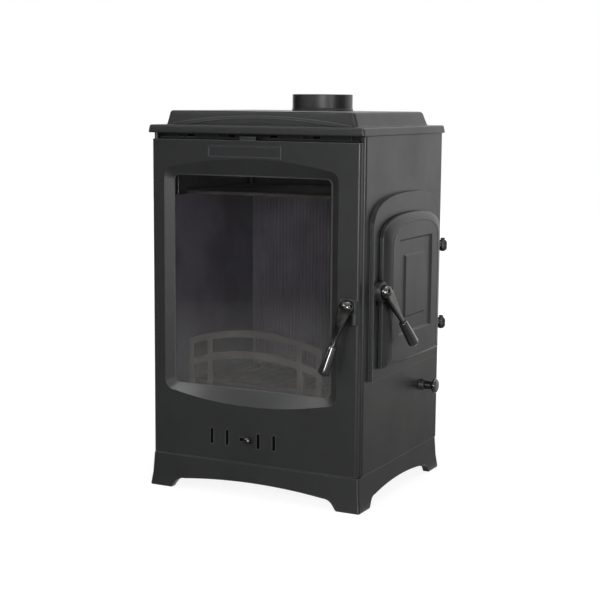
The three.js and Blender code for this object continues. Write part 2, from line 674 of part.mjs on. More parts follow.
function topPlate() {
  const nose = PLATE / 2;
  const rings = [-90, -50, -20, 20, 50, 90].map((degrees) => {
    const a = THREE.MathUtils.degToRad(degrees);
    return [plateOutline(nose * (1 - Math.cos(a))), BODY_TOP + nose + nose * Math.sin(a)];
  });
  const hood = [
    [hoodOutline(0), PLATE_TOP - CUT],
    hoodRing(0, 0),
    hoodRing(0.25, 0.07),
    hoodRing(0.45, 0.29),
    hoodRing(0.7, 0.82),
    hoodRing(1, 1),
  ];
  const foot = HOOD_WALL + HOOD_LEAN * 0.4;
  const cavity = [
    [hoodOutline(foot), BODY_TOP - CUT],
    [hoodOutline(foot), PLATE_TOP],
    [hoodOutline(HOOD_WALL + HOOD_LEAN), HOOD_TOP - HOOD_WALL],
  ];
  const boltHoles = collarBoltPlaces().map(([x, y]) =>
    round(COLLAR_BOLT_R + FIT, 'z', HOOD_TOP - HOOD_WALL - CUT, HOOD_TOP + CUT, [x, y, 0], 12));
  return shaped(loft(rings, 'z'), {
    add: [loft(hood, 'z'), hoodBrow()],
    cut: [
      loft(cavity, 'z'),
      round(COLLAR_R - COLLAR_WALL, 'z', BODY_TOP, HOOD_TOP + CUT, [0, COLLAR_Y, 0], 40),
      pinHole(BODY_TOP - CUT, BODY_TOP + PIN_SOCKET + FIT),
      ...boltHoles,
      ...tieHoles(BODY_TOP - CUT, BODY_TOP + TIE_THREAD + FIT),
    ],
  });
}

// The shallow arch that stands proud of the hood's leaning front.
function hoodBrow() {
  const half = SIDE - HOOD_SIDE - HOOD_LEAN - BROW_FOOT - ROOT;
  const lean = Math.atan2(HOOD_LEAN / 2, BROW_CROWN + ROOT);
  const shape = new THREE.Shape();
  shape.moveTo(-half, ROOT);
  shape.lineTo(half, ROOT);
  shape.lineTo(half, BROW_FOOT);
  shape.quadraticCurveTo(0, 2 * BROW_CROWN - BROW_FOOT, -half, BROW_FOOT);
  const geometry = prism(shape, 'y', 0, BROW + HOOD_WALL / 2, 14);
  geometry.rotateX(-lean);
  return geometry.translate(0, DOOR_FACE + HOOD_FRONT + HOOD_LEAN * 0.25 - BROW, PLATE_TOP);
}

// ---- Flue collar ------------------------------------------------------------------------------------------
function collarBoltPlaces() {
  return [30, 150, 270].map((degrees) => {
    const a = THREE.MathUtils.degToRad(degrees);
    const r = COLLAR_R - COLLAR_WALL / 2;
    return [r * Math.cos(a), COLLAR_Y + r * Math.sin(a)];
  });
}

function flueCollar() {
  const low = HOOD_TOP + FIT;
  const high = HOOD_TOP + COLLAR_HEIGHT;
  const bore = COLLAR_R - COLLAR_WALL;
  const ring = turned([
    [bore, low],
    [COLLAR_R + COLLAR_FLARE, low],
    [COLLAR_R + COLLAR_FLARE / 2, low + COLLAR_FOOT * 0.4],
    [COLLAR_R, low + COLLAR_FOOT],
    [COLLAR_R, high - COLLAR_EDGE],
    [COLLAR_R - COLLAR_EDGE, high],
    [bore + COLLAR_EDGE, high],
    [bore, high - COLLAR_EDGE],
    [bore, low],
  ], 48).translate(0, COLLAR_Y, 0);
  const holes = collarBoltPlaces().map(([x, y]) =>
    round(COLLAR_BOLT_R + FIT, 'z', low - CUT, HOOD_TOP + COLLAR_BOLT_DEEP + FIT + ROOT, [x, y, 0], 12));
  return shaped(ring, { cut: holes });
}

function hexHead(radius, from, to, x, y) {
  return round(radius, 'z', from, to, [x, y, 0], 6);
}

function collarBolt(x, y) {
  const under = HOOD_TOP - HOOD_WALL - FIT;
  return shaped(hexHead(COLLAR_BOLT_R * 2, under - COLLAR_BOLT_HEAD, under, x, y), {
    add: [round(COLLAR_BOLT_R, 'z', under - ROOT, HOOD_TOP + COLLAR_BOLT_DEEP, [x, y, 0], 12)],
  });
}

// ---- Tie bolts: they draw the top plate down on the body castings -----------------------------------------
function tieBoltPlaces() {
  const x = LINER_OUT + TIE_CLEAR + TIE_R;
  const front = -SIDE_OPENING.half - TIE_BESIDE - TIE_R;
  const back = BACK - TIE_BACK;
  return [[-x, front], [x, front], [-x, back], [x, back]];
}

// Clearance holes for the tie bolts between two levels.
function tieHoles(from, to) {
  return tieBoltPlaces().map(([x, y]) => round(TIE_R + FIT, 'z', from, to, [x, y, 0], 16));
}

function tieBolt([x, y]) {
  const under = BASE_HEIGHT - DECK - FIT;
  return shaped(hexHead(TIE_HEAD_R, under - TIE_HEAD, under, x, y), {
    add: [round(TIE_R, 'z', under - ROOT, BODY_TOP + TIE_THREAD, [x, y, 0], 16)],
  });
}

// ---- Front door -------------------------------------------------------------------------------------------
function frontDoorPlan() {
  const shape = new THREE.Shape();
  const soft = CORNER_R;
  shape.moveTo(HINGE_X, DOOR_FACE);
  shape.lineTo(DOOR_RIGHT - soft, DOOR_FACE);
  shape.absarc(DOOR_RIGHT - soft, DOOR_FACE + soft, soft, -Math.PI / 2, 0);
  shape.lineTo(DOOR_RIGHT, DOOR_BACK);
  shape.lineTo(HINGE_X, DOOR_BACK);
  shape.absarc(HINGE_X, HINGE_Y, HINGE_R, Math.PI / 2, Math.PI * 1.5);
  return shape;
}

const ROPE_PATH = {
  left: DOOR_LEFT + ROPE_EDGE,
  right: OPENING.right + ROPE_LAP + ROPE,
  bottom: DOOR_BOTTOM + ROPE_FOOT,
  top: OPENING.top + ROPE_LAP + ROPE,
};

function ring({ left, right, bottom, top }, width, y0, y1) {
  const shape = roundedRect(left, right, bottom, top, width * 1.5);
  shape.holes.push(roundedRect(left + width, right - width, bottom + width, top - width, width * 0.5));
  return prism(shape, 'y', y0, y1, 4);
}

function grown({ left, right, bottom, top }, by) {
  return { left: left - by, right: right + by, bottom: bottom - by, top: top + by };
}

function airHoleX(i) {
  const middle = AIR_HOLES / 2;
  return AIR_X + (i < middle ? i - middle : i + 1 - middle) * AIR_PITCH;
}

function airHole(i, from, to) {
  const x = airHoleX(i);
  const half = AIR_WIDTH / 2;
  const shape = roundedRect(x - half, x + half, AIR_Z - AIR_TALL / 2, AIR_Z + AIR_TALL / 2, half * 0.997);
  return prism(shape, 'y', from, to, 4);
}

const AIR_SLIDE_BOX = {
  left: airHoleX(0) - AIR_SLIDE_END,
  right: airHoleX(AIR_HOLES - 1) + AIR_SLIDE_END,
  bottom: AIR_Z - AIR_TALL / 2 - AIR_SLIDE_EDGE,
  top: AIR_Z + AIR_TALL / 2 + AIR_SLIDE_EDGE,
};

// The latch boss: a square pad under the hub with a round column at the door's edge.
function latchBoss() {
  const { x, z } = FRONT_HUB;
  const face = DOOR_FACE - FRONT_BOSS;
  const right = DOOR_RIGHT - FRONT_BOSS + ROOT * 5;
  const pad = prism(roundedRect(x - HUB_R, right, z - HUB_R, z + HUB_R, 3), 'y', face, DOOR_FACE + ROOT, 3);
  const columnR = FRONT_BOSS - ROOT;
  const centre = [DOOR_RIGHT - FRONT_BOSS, DOOR_FACE + ROOT, 0];
  return [pad, round(columnR, 'z', z - 2.6 * HUB_R, z + HUB_R - ROOT, centre)];
}

// The cast name-plate field, left bare.
function plaque() {
  const { left, right, tall, drop, rim, rise } = PLAQUE;
  const high = DOOR_TOP - drop;
  const low = high - tall;
  const frame = roundedRect(left, right, low, high, rim * 0.7);
  frame.holes.push(roundedRect(left + rim, right - rim, low + rim, high - rim, rim * 0.35));
  return prism(frame, 'y', DOOR_FACE - rise, DOOR_FACE + ROOT, 2);
}

// A round hole about the front door's hinge axis.
function pinHole(from, to) {
  return round(PIN_R + FIT, 'z', from, to, [HINGE_X, HINGE_Y, 0]);
}

function frontDoor() {
  const over = 1 + ROOT / (REBATE - DOOR_FACE);
  const reveal = loft([
    [windowOutline(SIGHT, REVEAL * over, BOW * over, REVEAL_CORNER_R), DOOR_FACE - ROOT],
    [windowOutline(SIGHT, 0, 0, SIGHT_CORNER_R), REBATE],
    [windowOutline(SIGHT, 0, 0, SIGHT_CORNER_R), REBATE + CUT],
  ], 'y', 8);
  const pane = grown(SIGHT, GLASS_LAP + FIT);
  const plate = grown(AIR_SLIDE_BOX, RUN);
  const slotHalf = AIR_STUD_R + ROOT;
  const knobSlot = roundedRect(
    KNOB_X - AIR_TRAVEL - slotHalf, KNOB_X + slotHalf, AIR_Z - slotHalf, AIR_Z + slotHalf, slotHalf * 0.98,
  );
  const spindleAt = [FRONT_HUB.x, 0, FRONT_HUB.z];
  return shaped(prism(frontDoorPlan(), 'z', DOOR_BOTTOM, DOOR_TOP), {
    add: [...latchBoss(), plaque()],
    cut: [
      reveal,
      box(pane.left, pane.right, REBATE, DOOR_BACK + CUT, pane.bottom, pane.top),
      ring(grown(ROPE_PATH, FIT), ROPE + 2 * FIT, DOOR_BACK - ROPE_GROOVE, DOOR_BACK + CUT),
      box(
        plate.left - AIR_TRAVEL, plate.right, DOOR_BACK - AIR_SLIDE - 2 * FIT, DOOR_BACK + CUT,
        plate.bottom, plate.top,
      ),
      ...Array.from({ length: AIR_HOLES }, (_, i) => airHole(i, DOOR_FACE - CUT, DOOR_BACK + CUT)),
      prism(knobSlot, 'y', DOOR_FACE - CUT, DOOR_BACK, 4),
      round(SPINDLE_R + FIT, 'y', DOOR_FACE - FRONT_BOSS - CUT, DOOR_BACK + CUT, spindleAt),
      pinHole(DOOR_BOTTOM - CUT, DOOR_BOTTOM + PIN_GRIP + FIT),
      pinHole(DOOR_TOP - PIN_GRIP - FIT, DOOR_TOP + CUT),
      ...clipPlaces().map(([x, z]) => clipHole(x, z)),
      ...retainerScrewPlaces('top').map(([x, z]) => retainerHole(x, z)),
      ...retainerScrewPlaces('bottom').map(([x, z]) => retainerHole(x, z)),
    ],
  });
}

// ---- Front door fittings ----------------------------------------------------------------------------------
function clipPlaces() {
  const out = GLASS_LAP + FIT + CLIP.heel;
  const rows = [SIGHT.bottom + CLIP.inset, SIGHT.top - CLIP.inset];
  return rows.flatMap((z) => [[SIGHT.left - out, z], [SIGHT.right + out, z]]);
}

function clipHole(x, z) {
  return round(CLIP.screwR + FIT, 'y', DOOR_BACK - CLIP.screwDeep - FIT, DOOR_BACK + CUT, [x, 0, z], 12);
}

function glassClip(x, z) {
  const { long, tall, thick, heel, screwR, screwDeep, head } = CLIP;
  const inward = x < 0 ? 1 : -1;
  const y0 = GLASS_BACK + FIT;
  const middle = x + inward * (long / 2 - heel);
  return shaped(box(middle - long / 2, middle + long / 2, y0, y0 + thick, z - tall / 2, z + tall / 2), {
    add: [
      round(screwR, 'y', DOOR_BACK - screwDeep, y0 + ROOT, [x, 0, z], 12),
      round(screwR * 2, 'y', y0 + ROOT, y0 + thick + head, [x, 0, z], 12),
    ],
  });
}

function glassTape() {
  const outline = grown(SIGHT, GLASS_LAP - FIT);
  const shape = roundedRect(outline.left, outline.right, outline.bottom, outline.top, ROOT);
  const inside = grown(SIGHT, FIT);
  shape.holes.push(roundedRect(inside.left, inside.right, inside.bottom, inside.top, SIGHT_CORNER_R));
  return prism(shape, 'y', TAPE_FRONT, GLASS_FRONT - FIT, 3);
}

function pane() {
  const { left, right, bottom, top } = grown(SIGHT, GLASS_LAP);
  return prism(roundedRect(left, right, bottom, top, ROOT), 'y', GLASS_FRONT, GLASS_BACK, 2);
}

function hingePin(from, to) {
  return round(PIN_R, 'z', from, to, [HINGE_X, HINGE_Y, 0]);
}

function hingeWasher() {
  const shape = new THREE.Shape();
  shape.absarc(0, 0, HINGE_R - FIT, 0, Math.PI * 2);
  const hole = new THREE.Path();
  hole.absarc(0, 0, PIN_R + FIT, 0, Math.PI * 2);
  shape.holes.push(hole);
  return prism(shape, 'z', PANEL_LOW, PANEL_LOW + WASHER, 8).translate(HINGE_X, HINGE_Y, 0);
}

function primaryAirSlide() {
  const y1 = DOOR_BACK - FIT;
  const y0 = y1 - AIR_SLIDE;
  const { left, right, bottom, top } = AIR_SLIDE_BOX;
  return shaped(box(left, right, y0, y1, bottom, top), {
    add: [round(AIR_STUD_R, 'y', DOOR_FACE - AIR_STUD, y0 + ROOT, [KNOB_X, 0, AIR_Z], 16)],
    cut: Array.from({ length: AIR_HOLES }, (_, i) => airHole(i, y0 - CUT, y1 + CUT)),
  });
}

function primaryAirKnob() {
  const knob = turned([
    [0, 0],
    [AIR_KNOB_R * 0.6, 0],
    [AIR_KNOB_R * 0.62, AIR_KNOB * 0.23],
    [AIR_KNOB_R, AIR_KNOB * 0.46],
    [AIR_KNOB_R, AIR_KNOB * 0.7],
    [AIR_KNOB_R * 0.7, AIR_KNOB * 0.92],
    [0, AIR_KNOB],
  ], 24);
  knob.rotateX(Math.PI / 2).translate(KNOB_X, DOOR_FACE - CUT + RUN, AIR_Z);
  const studHole = round(
    AIR_STUD_R + FIT, 'y', DOOR_FACE - AIR_STUD - FIT, DOOR_FACE + CUT, [KNOB_X, 0, AIR_Z], 16,
  );
  return shaped(knob, { cut: [studHole] });
}

function retainerScrewPlaces(edge) {
  const inset = RETAINER_SCREW.in;
  const { out } = RETAINER_SCREW;
  const z = edge === 'top' ? AIR_SLIDE_BOX.top + out : AIR_SLIDE_BOX.bottom - out;
  return [[AIR_SLIDE_BOX.left + inset, z], [AIR_SLIDE_BOX.right - inset, z]];
}

function retainerHole(x, z) {
  const { r, deep } = RETAINER_SCREW;
  return round(r + FIT, 'y', DOOR_BACK - deep - FIT, DOOR_BACK + CUT, [x, 0, z], 10);
}

function slideRetainer(edge) {
  const { tall, thick, lap, end } = RETAINER;
  const { r, deep, head } = RETAINER_SCREW;
  const [z0, z1] = edge === 'top'
    ? [AIR_SLIDE_BOX.top - lap, AIR_SLIDE_BOX.top + tall]
    : [AIR_SLIDE_BOX.bottom - tall, AIR_SLIDE_BOX.bottom + lap];
  const y0 = DOOR_BACK + FIT;
  const screws = retainerScrewPlaces(edge).flatMap(([x, z]) => [
    round(r, 'y', DOOR_BACK - deep, y0 + ROOT, [x, 0, z], 10),
    round(r * 2, 'y', y0 + ROOT, y0 + thick + head, [x, 0, z], 10),
  ]);
  const plate = box(AIR_SLIDE_BOX.left - end, AIR_SLIDE_BOX.right + end, y0, y0 + thick, z0, z1);
  return shaped(plate, { add: screws });
}

// ---- Airwash slide ----------------------------------------------------------------------------------------
function airwashSlide() {
  const y1 = FRONT - FIT;
  const y0 = y1 - WASH_SLIDE;
  const half = INSIDE - FIT - WASH_TRAVEL - RUN;
  const over = CHANNEL_TOP + RUN;
  const face = DOOR_FACE - ROOT;
  const [x0, x1] = [TAB_X - TAB_WIDTH / 2, TAB_X + TAB_WIDTH / 2];
  return shaped(box(-half, half, y0, y1, CHANNEL_FLOOR + CHANNEL_LIP + FIT, PANEL_HIGH), {
    add: [
      box(x0, x1, face - TAB_THICK, y0 + ROOT, over, over + TAB_THICK),
      box(x0, x1, face - TAB_THICK, face, CHANNEL_FLOOR, over + TAB_THICK),
    ],
    cut: washSlots(-WASH_TRAVEL, y0, y1),
  });
}

// ---- Side door --------------------------------------------------------------------------------------------
function leafOutline(inset) {
  return archedPanel({
    half: LEAF_HALF - inset,
    bottom: LEAF_BOTTOM + inset * 0.45,
    spring: LEAF_SPRING - inset * 0.3,
    crown: LEAF_CROWN - inset * 0.6,
  });
}

// The outline of the sunk panel, or of what lies an inset inside it.
function panelOutline(inset) {
  const half = LEAF_HALF - PANEL_SIDE - inset;
  const low = LEAF_BOTTOM + PANEL_FOOT + inset;
  return roundedRect(-half, half, low, LEAF_CROWN - PANEL_HEAD - inset, PANEL_CORNER_R);
}

function sideDoor() {
  const floor = LEAF_FACE - PANEL_SUNK;
  const leaf = loft([
    [leafOutline(0), LEAF_BACK],
    [leafOutline(0), LEAF_RIM],
    [leafOutline(LEAF_SHOULDER * 0.45), LEAF_RIM + LEAF_BULGE * 0.75],
    [leafOutline(LEAF_SHOULDER), LEAF_FACE],
  ], 'x', 10);
  const sunk = loft([
    [panelOutline(PANEL_BEVEL), floor],
    [panelOutline(0), LEAF_FACE],
    [panelOutline(0), LEAF_FACE + CUT],
  ], 'x', 2);
  const field = loft([
    [panelOutline(FIELD_INSET), floor - ROOT],
    [panelOutline(FIELD_INSET), floor],
    [panelOutline(FIELD_INSET + FIELD_BEVEL), floor + FIELD_RISE],
  ], 'x', 2);
  const knuckles = SIDE_HINGE_Z.flatMap((z) => [
    onSideAxis(KNUCKLE_R, z + FIT / 2, z + KNUCKLE),
    box(LEAF_BACK, SIDE_AXIS.x + KNUCKLE_R / 2, LEAF_HALF - 3 * ROOT, SIDE_AXIS.y, z + FIT / 2, z + KNUCKLE),
  ]);
  const hub = [0, SIDE_HUB.y, SIDE_HUB.z];
  const screwEnd = LEAF_BACK + SHIELD.screwDeep + FIT;
  return shaped(leaf, {
    add: [...knuckles, round(SIDE_LUG_R, 'x', LEAF_BACK, LEAF_BACK + SIDE_LUG_RISE, hub, 28)],
    cut: [
      shaped(sunk, { cut: [field] }),
      prism(sideRopeShape(FIT), 'x', LEAF_BACK - CUT, LEAF_BACK + SIDE_ROPE_DEEP, 8),
      round(SPINDLE_R + FIT, 'x', LEAF_BACK - CUT, LEAF_FACE + CUT, hub),
      ...SIDE_HINGE_Z.map((z) => onSideAxis(SIDE_PIN_R + FIT, z - CUT, z + KNUCKLE + CUT, 16)),
      ...shieldScrewPlaces().map((z) => shieldScrewHole(LEAF_BACK - CUT, screwEnd, z)),
    ],
  });
}

function sideRopeShape(grow) {
  const at = (inset) => archedPanel({
    half: LEAF_HALF - inset,
    bottom: LEAF_BOTTOM + inset,
    spring: LEAF_SPRING - inset / 2,
    crown: LEAF_CROWN - inset,
  });
  const shape = at(SIDE_ROPE_IN - grow);
  shape.holes.push(at(SIDE_ROPE_IN + ROPE + grow));
  return shape;
}

function sideRope() {
  return prism(sideRopeShape(0), 'x', SURROUND_FACE + FIT, LEAF_BACK + SIDE_ROPE_DEEP - FIT, 8);
}

function shieldScrewPlaces() {
  return [SIDE_OPENING.bottom + SHIELD.screwIn, SIDE_OPENING.crown - SHIELD.screwIn];
}

function shieldScrewHole(from, to, z) {
  return round(SHIELD.screwR + FIT, 'x', from, to, [0, 0, z], 12);
}

function heatShield() {
  const { half, bottom, spring, crown } = SIDE_OPENING;
  const { gap, thick } = SHIELD;
  const shape = archedPanel({
    half: half - gap,
    bottom: bottom + gap,
    spring: spring - gap / 2,
    crown: crown - gap,
  });
  const back = LEAF_BACK - FIT - thick;
  return shaped(prism(shape, 'x', back, back + thick, 8), {
    cut: shieldScrewPlaces().map((z) => shieldScrewHole(back - CUT, back + thick + CUT, z)),
  });
}

function shieldScrew(z) {
  const { thick, screwR, screwDeep, headR, head } = SHIELD;
  const seat = LEAF_BACK - 2 * FIT - thick;
  return shaped(round(headR, 'x', seat - head, seat, [0, 0, z], 12), {
    add: [round(screwR, 'x', seat - ROOT, LEAF_BACK + screwDeep, [0, 0, z], 12)],
  });
}

function sideHingePin(z) {
  const top = z + KNUCKLE + FIT;
  const { r, edge, dome } = SIDE_PIN_HEAD;
  const head = turned([
    [0, top],
    [r, top],
    [r, top + edge],
    [r * 0.68, top + dome * 0.82],
    [0, top + dome],
  ], 20);
  return shaped(round(SIDE_PIN_R, 'z', z - KNUCKLE, top + ROOT, [0, 0, 0], 16), { add: [head] })
    .translate(SIDE_AXIS.x, SIDE_AXIS.y, 0);
}

// ---- Latch handles: hub and arm, grip, spindle, tongue and nut, drawn about the hub facing +Z -------------
function handleArm() {
  const hub = turned([
    [0, FIT],
    [HUB_R, FIT],
    [HUB_R, HUB_RISE * 0.4],
    [HUB_R * 0.86, HUB_RISE * 0.7],
    [HUB_R * 0.58, HUB_RISE * 0.91],
    [0, HUB_RISE],
  ], 28);
  const section = (width, thick, lift) =>
    roundedRect(-width / 2, width / 2, lift - thick / 2, lift + thick / 2, thick * 0.35);
  const arm = loft([
    [section(HUB_R * 1.5, ARM_THICK, HUB_RISE * 0.47), CUT],
    [section(HUB_R * 1.2, ARM_THICK * 0.95, HUB_RISE * 0.73), ARM * 0.4],
    [section(GRIP_NECK_R * 1.4, ARM_THICK * 0.9, ARM_LIFT * 0.79), ARM * 0.75],
    [section(GRIP_NECK_R * 1.12, ARM_THICK * 0.9, ARM_LIFT), ARM],
  ], 'z', 2).applyMatrix4(new THREE.Matrix4().makeRotationX(Math.PI / 2));
  const tang = onArm(round(TANG_R, 'z', -GRIP_NECK_R, TANG, [0, 0, 0], 12));
  return shaped(hub, {
    add: [arm, tang],
    cut: [round(SPINDLE_R + FIT, 'z', -CUT, HUB_BORE, [0, 0, 0])],
  });
}

// Sets a piece drawn about the vertical axis on the arm's end, leaning away from the stove.
function onArm(geometry) {
  const lean = THREE.MathUtils.degToRad(GRIP_LEAN);
  const seat = (GRIP_NECK_R - GRIP_EDGE) * Math.sin(lean);
  return geometry.rotateX(Math.PI / 2 - lean).translate(0, -ARM - FIT - seat, ARM_LIFT);
}

function handleGrip() {
  const grip = turned([
    [0, 0],
    [GRIP_NECK_R - GRIP_EDGE, 0],
    [GRIP_NECK_R, GRIP_EDGE],
    [GRIP_R, GRIP * 0.9],
    [GRIP_R * 0.82, GRIP * 0.975],
    [GRIP_R / 2, GRIP],
    [0, GRIP],
  ], 24);
  return shaped(onArm(grip), {
    cut: [onArm(round(TANG_R + FIT, 'z', -CUT, TANG + FIT, [0, 0, 0], 12))],
  });
}

function spindle(depth) {
  return round(SPINDLE_R, 'z', -depth, HUB_BORE - FIT, [0, 0, 0]);
}

function tongue(near) {
  const far = -near - TONGUE_THICK;
  const half = TONGUE_WIDTH / 2;
  const eye = SPINDLE_R + TONGUE_EYE;
  const shape = roundedRect(-half, half, -TONGUE, eye, TONGUE_THICK / 2);
  return shaped(prism(shape, 'z', far, -near, 3), {
    add: [round(eye, 'z', far, -near, [0, 0, 0])],
    cut: [round(SPINDLE_R + FIT, 'z', far - CUT, -near + CUT, [0, 0, 0])],
  });
}

function nut(near) {
  const far = -near - NUT;
  return shaped(round(NUT_R, 'z', far, -near, [0, 0, 0], 6), {
    cut: [round(SPINDLE_R + FIT, 'z', far - CUT, -near + CUT, [0, 0, 0])],
  });
}

// One handle with its latch: seat is the depth from the hub's seat to the tongue's near face.
function latch(name, seat, hang, basis, place) {
  const turn = new THREE.Group();
  turn.quaternion.setFromRotationMatrix(new THREE.Matrix4().makeBasis(...basis));
  turn.position.set(...place);
  stove.add(turn);
  const hanging = new THREE.Group();
  hanging.rotation.z = THREE.MathUtils.degToRad(hang);
  turn.add(hanging);
  piece(`${name}_handle_arm`, handleArm(), nickel, hanging);
  piece(`${name}_handle_grip`, handleGrip(), blackNickel, hanging);
  piece(`${name}_latch_spindle`, spindle(seat + LATCH_REACH), steel, turn);
  piece(`${name}_latch_tongue`, tongue(seat), steel, turn);
  piece(`${name}_latch_nut`, nut(seat + TONGUE_THICK + FIT), steel, turn);
}

// ---- Firebox ----------------------------------------------------------------------------------------------
function sideLiner(sign) {
  const [x0, x1] = sign < 0 ? [-LINER_OUT, -LINER_FACE] : [LINER_FACE, LINER_OUT];
  const plate = box(x0, x1, FIREBOX_FRONT, REAR_FACE - FIT, GRATE_Z, LINER_TOP);
  if (sign < 0) return plate;
  const { half, bottom, crown } = SIDE_OPENING;
  return shaped(plate, {
    cut: [
      prism(roundedRect(-half, half, bottom, crown, PORT_CORNER_R), 'x', x0 - CUT, x1 + CUT, 3),
      round(ROD_R + RUN, 'x', x0 - CUT, x1 + CUT, [0, ROD.y, ROD.z]),
    ],
  });
}

function rearLiner() {
  const count = Math.floor((2 * (LINER_FACE - FLUTE_END)) / FLUTE_PITCH);
  const start = -(count * FLUTE_PITCH) / 2;
  const shape = new THREE.Shape();
  shape.moveTo(-LINER_OUT, REAR_BACK);
  shape.lineTo(-LINER_OUT, REAR_FACE);
  for (let i = 0; i < count; i += 1) {
    const x = start + i * FLUTE_PITCH;
    shape.lineTo(x + FLUTE_PITCH * 0.3, REAR_FACE);
    shape.lineTo(x + FLUTE_PITCH * 0.45, REAR_FACE + FLUTE_DEEP);
    shape.lineTo(x + FLUTE_PITCH * 0.7, REAR_FACE + FLUTE_DEEP);
    shape.lineTo(x + FLUTE_PITCH * 0.85, REAR_FACE);
  }
  shape.lineTo(LINER_OUT, REAR_FACE);
  shape.lineTo(LINER_OUT, REAR_BACK);
  return prism(shape, 'z', GRATE_Z, LINER_TOP);
}

function bearer(from, to) {
  const half = INSIDE - FIT;
  return shaped(box(-half, half, from, to, HEARTH_Z - BEARER, HEARTH_Z), {
    cut: tieHoles(HEARTH_Z - BEARER - CUT, HEARTH_Z + CUT),
  });
}

function riddlingGrate() {
  const pitch = (GRATE_RIGHT - GRATE_LEFT - 2 * GRATE_BORDER) / GRATE_SLOTS;
  const end = GRATE_SLOT / 2;
  const slots = Array.from({ length: GRATE_SLOTS }, (_, i) => {
    const x = GRATE_LEFT + GRATE_BORDER + (i + 0.5) * pitch;
    const back = ROD.y - ROD_R - ROD_MARGIN;
    const shape = roundedRect(x - end, x + end, GRATE_FRONT + GRATE_HEAD, back, end * 0.998);
    return prism(shape, 'z', GRATE_Z - CUT, GRATE_Z + GRATE + CUT, 2);
  });
  const socket = round(ROD_R + FIT, 'x', GRATE_RIGHT - ROD_SOCKET, GRATE_RIGHT + CUT, [0, ROD.y, ROD.z], 16);
  return shaped(box(GRATE_LEFT, GRATE_RIGHT, GRATE_FRONT, GRATE_BACK, GRATE_Z, GRATE_Z + GRATE), {
    cut: [...slots, socket],
  });
}

const ROD_END = SIDE + KNOB_OUT - KNOB / 2;

function riddlingRod() {
  return round(ROD_R, 'x', GRATE_RIGHT - ROD_SOCKET + FIT, ROD_END, [0, ROD.y, ROD.z], 16);
}

function riddlingKnob() {
  const long = KNOB_NECK + KNOB;
  const knob = turned([
    [0, 0],
    [KNOB_R / 2, 0],
    [KNOB_R / 2, KNOB_NECK - CUT],
    [KNOB_R - KNOB_EDGE, KNOB_NECK],
    [KNOB_R, KNOB_NECK + KNOB_EDGE],
    [KNOB_R, long - KNOB_EDGE],
    [KNOB_R - KNOB_EDGE, long],
    [0, long],
  ], 28);
  knob.rotateY(Math.PI / 2).translate(SIDE + KNOB_OUT - long, ROD.y, ROD.z);
  return shaped(knob, { cut: [round(ROD_R + FIT, 'x', SIDE, ROD_END + FIT, [0, ROD.y, ROD.z], 16)] });
}

// Height of the log guard's crowned top; with two places, of the point that draws the curve between them.
function guardTop(a, b = a) {
  return GRATE_Z + GUARD_CROWN - ((GUARD_CROWN - GUARD_SHOULDER) * a * b) / GUARD_HALF ** 2;
}

// The guard's part from x0 to x1. Its top lies a drop below the crown, its foot is level or follows the crown.
function guardPanel(x0, x1, drop, { level, below }) {
  const shape = new THREE.Shape();
  const middle = (x0 + x1) / 2;
  shape.moveTo(x0, level ?? guardTop(x0) - below);
  if (below) shape.quadraticCurveTo(middle, guardTop(x0, x1) - below, x1, guardTop(x1) - below);
  else shape.lineTo(x1, level);
  shape.lineTo(x1, guardTop(x1) - drop);
  shape.quadraticCurveTo(middle, guardTop(x0, x1) - drop, x0, guardTop(x0) - drop);
  return shape;
}

function logGuard() {
  const y0 = FIREBOX_FRONT - GUARD;
  const foot = GRATE_Z;
  const post = GUARD_POST / 2;
  const posts = [-GUARD_HALF + post, -GUARD_POST_AT, GUARD_POST_AT, GUARD_HALF - post];
  const bays = posts.slice(1).flatMap((right, i) => [
    guardPanel(posts[i] + post, right - post, GUARD_RAIL, { below: GUARD_RAIL + GUARD_GAP }),
    guardPanel(posts[i] + post, right - post, 2 * GUARD_RAIL + GUARD_GAP, { level: foot + GUARD_FOOT }),
  ]);
  return shaped(prism(guardPanel(-GUARD_HALF, GUARD_HALF, 0, { level: foot }), 'y', y0, y0 + GUARD, 8), {
    cut: bays.map((bay) => prism(bay, 'y', y0 - CUT, y0 + GUARD + CUT, 4)),
  }).translate(GUARD_X, 0, 0);
}

function bafflePlate() {
  const low = LINER_TOP + FIT;
  return box(-LINER_OUT, LINER_OUT, FIREBOX_FRONT + BAFFLE_GAP, REAR_BACK, low, low + BAFFLE);
}

// ---- Ash pan ----------------------------------------------------------------------------------------------
function ashPan() {
  const { half, frontGap, backGap, rise, wall } = PAN;
  const [front, back] = [FRONT + frontGap, BACK - backGap];
  const loopZ = PANEL_LOW + rise * LOOP.at;
  const loop = box(-LOOP.half, LOOP.half, front - LOOP.out, front + ROOT, loopZ, loopZ + LOOP.thick);
  const reach = LOOP.half - LOOP.side;
  const finger = box(
    -reach, reach, front - LOOP.out + LOOP.bar, front - LOOP.root, loopZ - CUT, loopZ + LOOP.thick + CUT,
  );
  const inside = box(
    -half + wall, half - wall, front + wall, back - wall, PANEL_LOW + wall, PANEL_LOW + rise + CUT,
  );
  return shaped(box(-half, half, front, back, PANEL_LOW, PANEL_LOW + rise), {
    add: [shaped(loop, { cut: [finger] })],
    cut: [inside],
  });
}

// ---- The stove --------------------------------------------------------------------------------------------
piece('base_casting', baseCasting(), blackIron);
piece('left_side_panel', leftSide(), blackIron);
piece('right_side_panel', rightSide(), blackIron);
piece('back_panel', backPanel(), blackIron);
piece('front_frame', frontFrame(), blackIron);
piece('top_plate', topPlate(), blackIron);
piece('flue_collar', flueCollar(), blackIron);
collarBoltPlaces().forEach(([x, y], i) => piece(`flue_collar_bolt_${i + 1}`, collarBolt(x, y), steel));
tieBoltPlaces().forEach((place, i) => piece(`tie_bolt_${i + 1}`, tieBolt(place), steel));

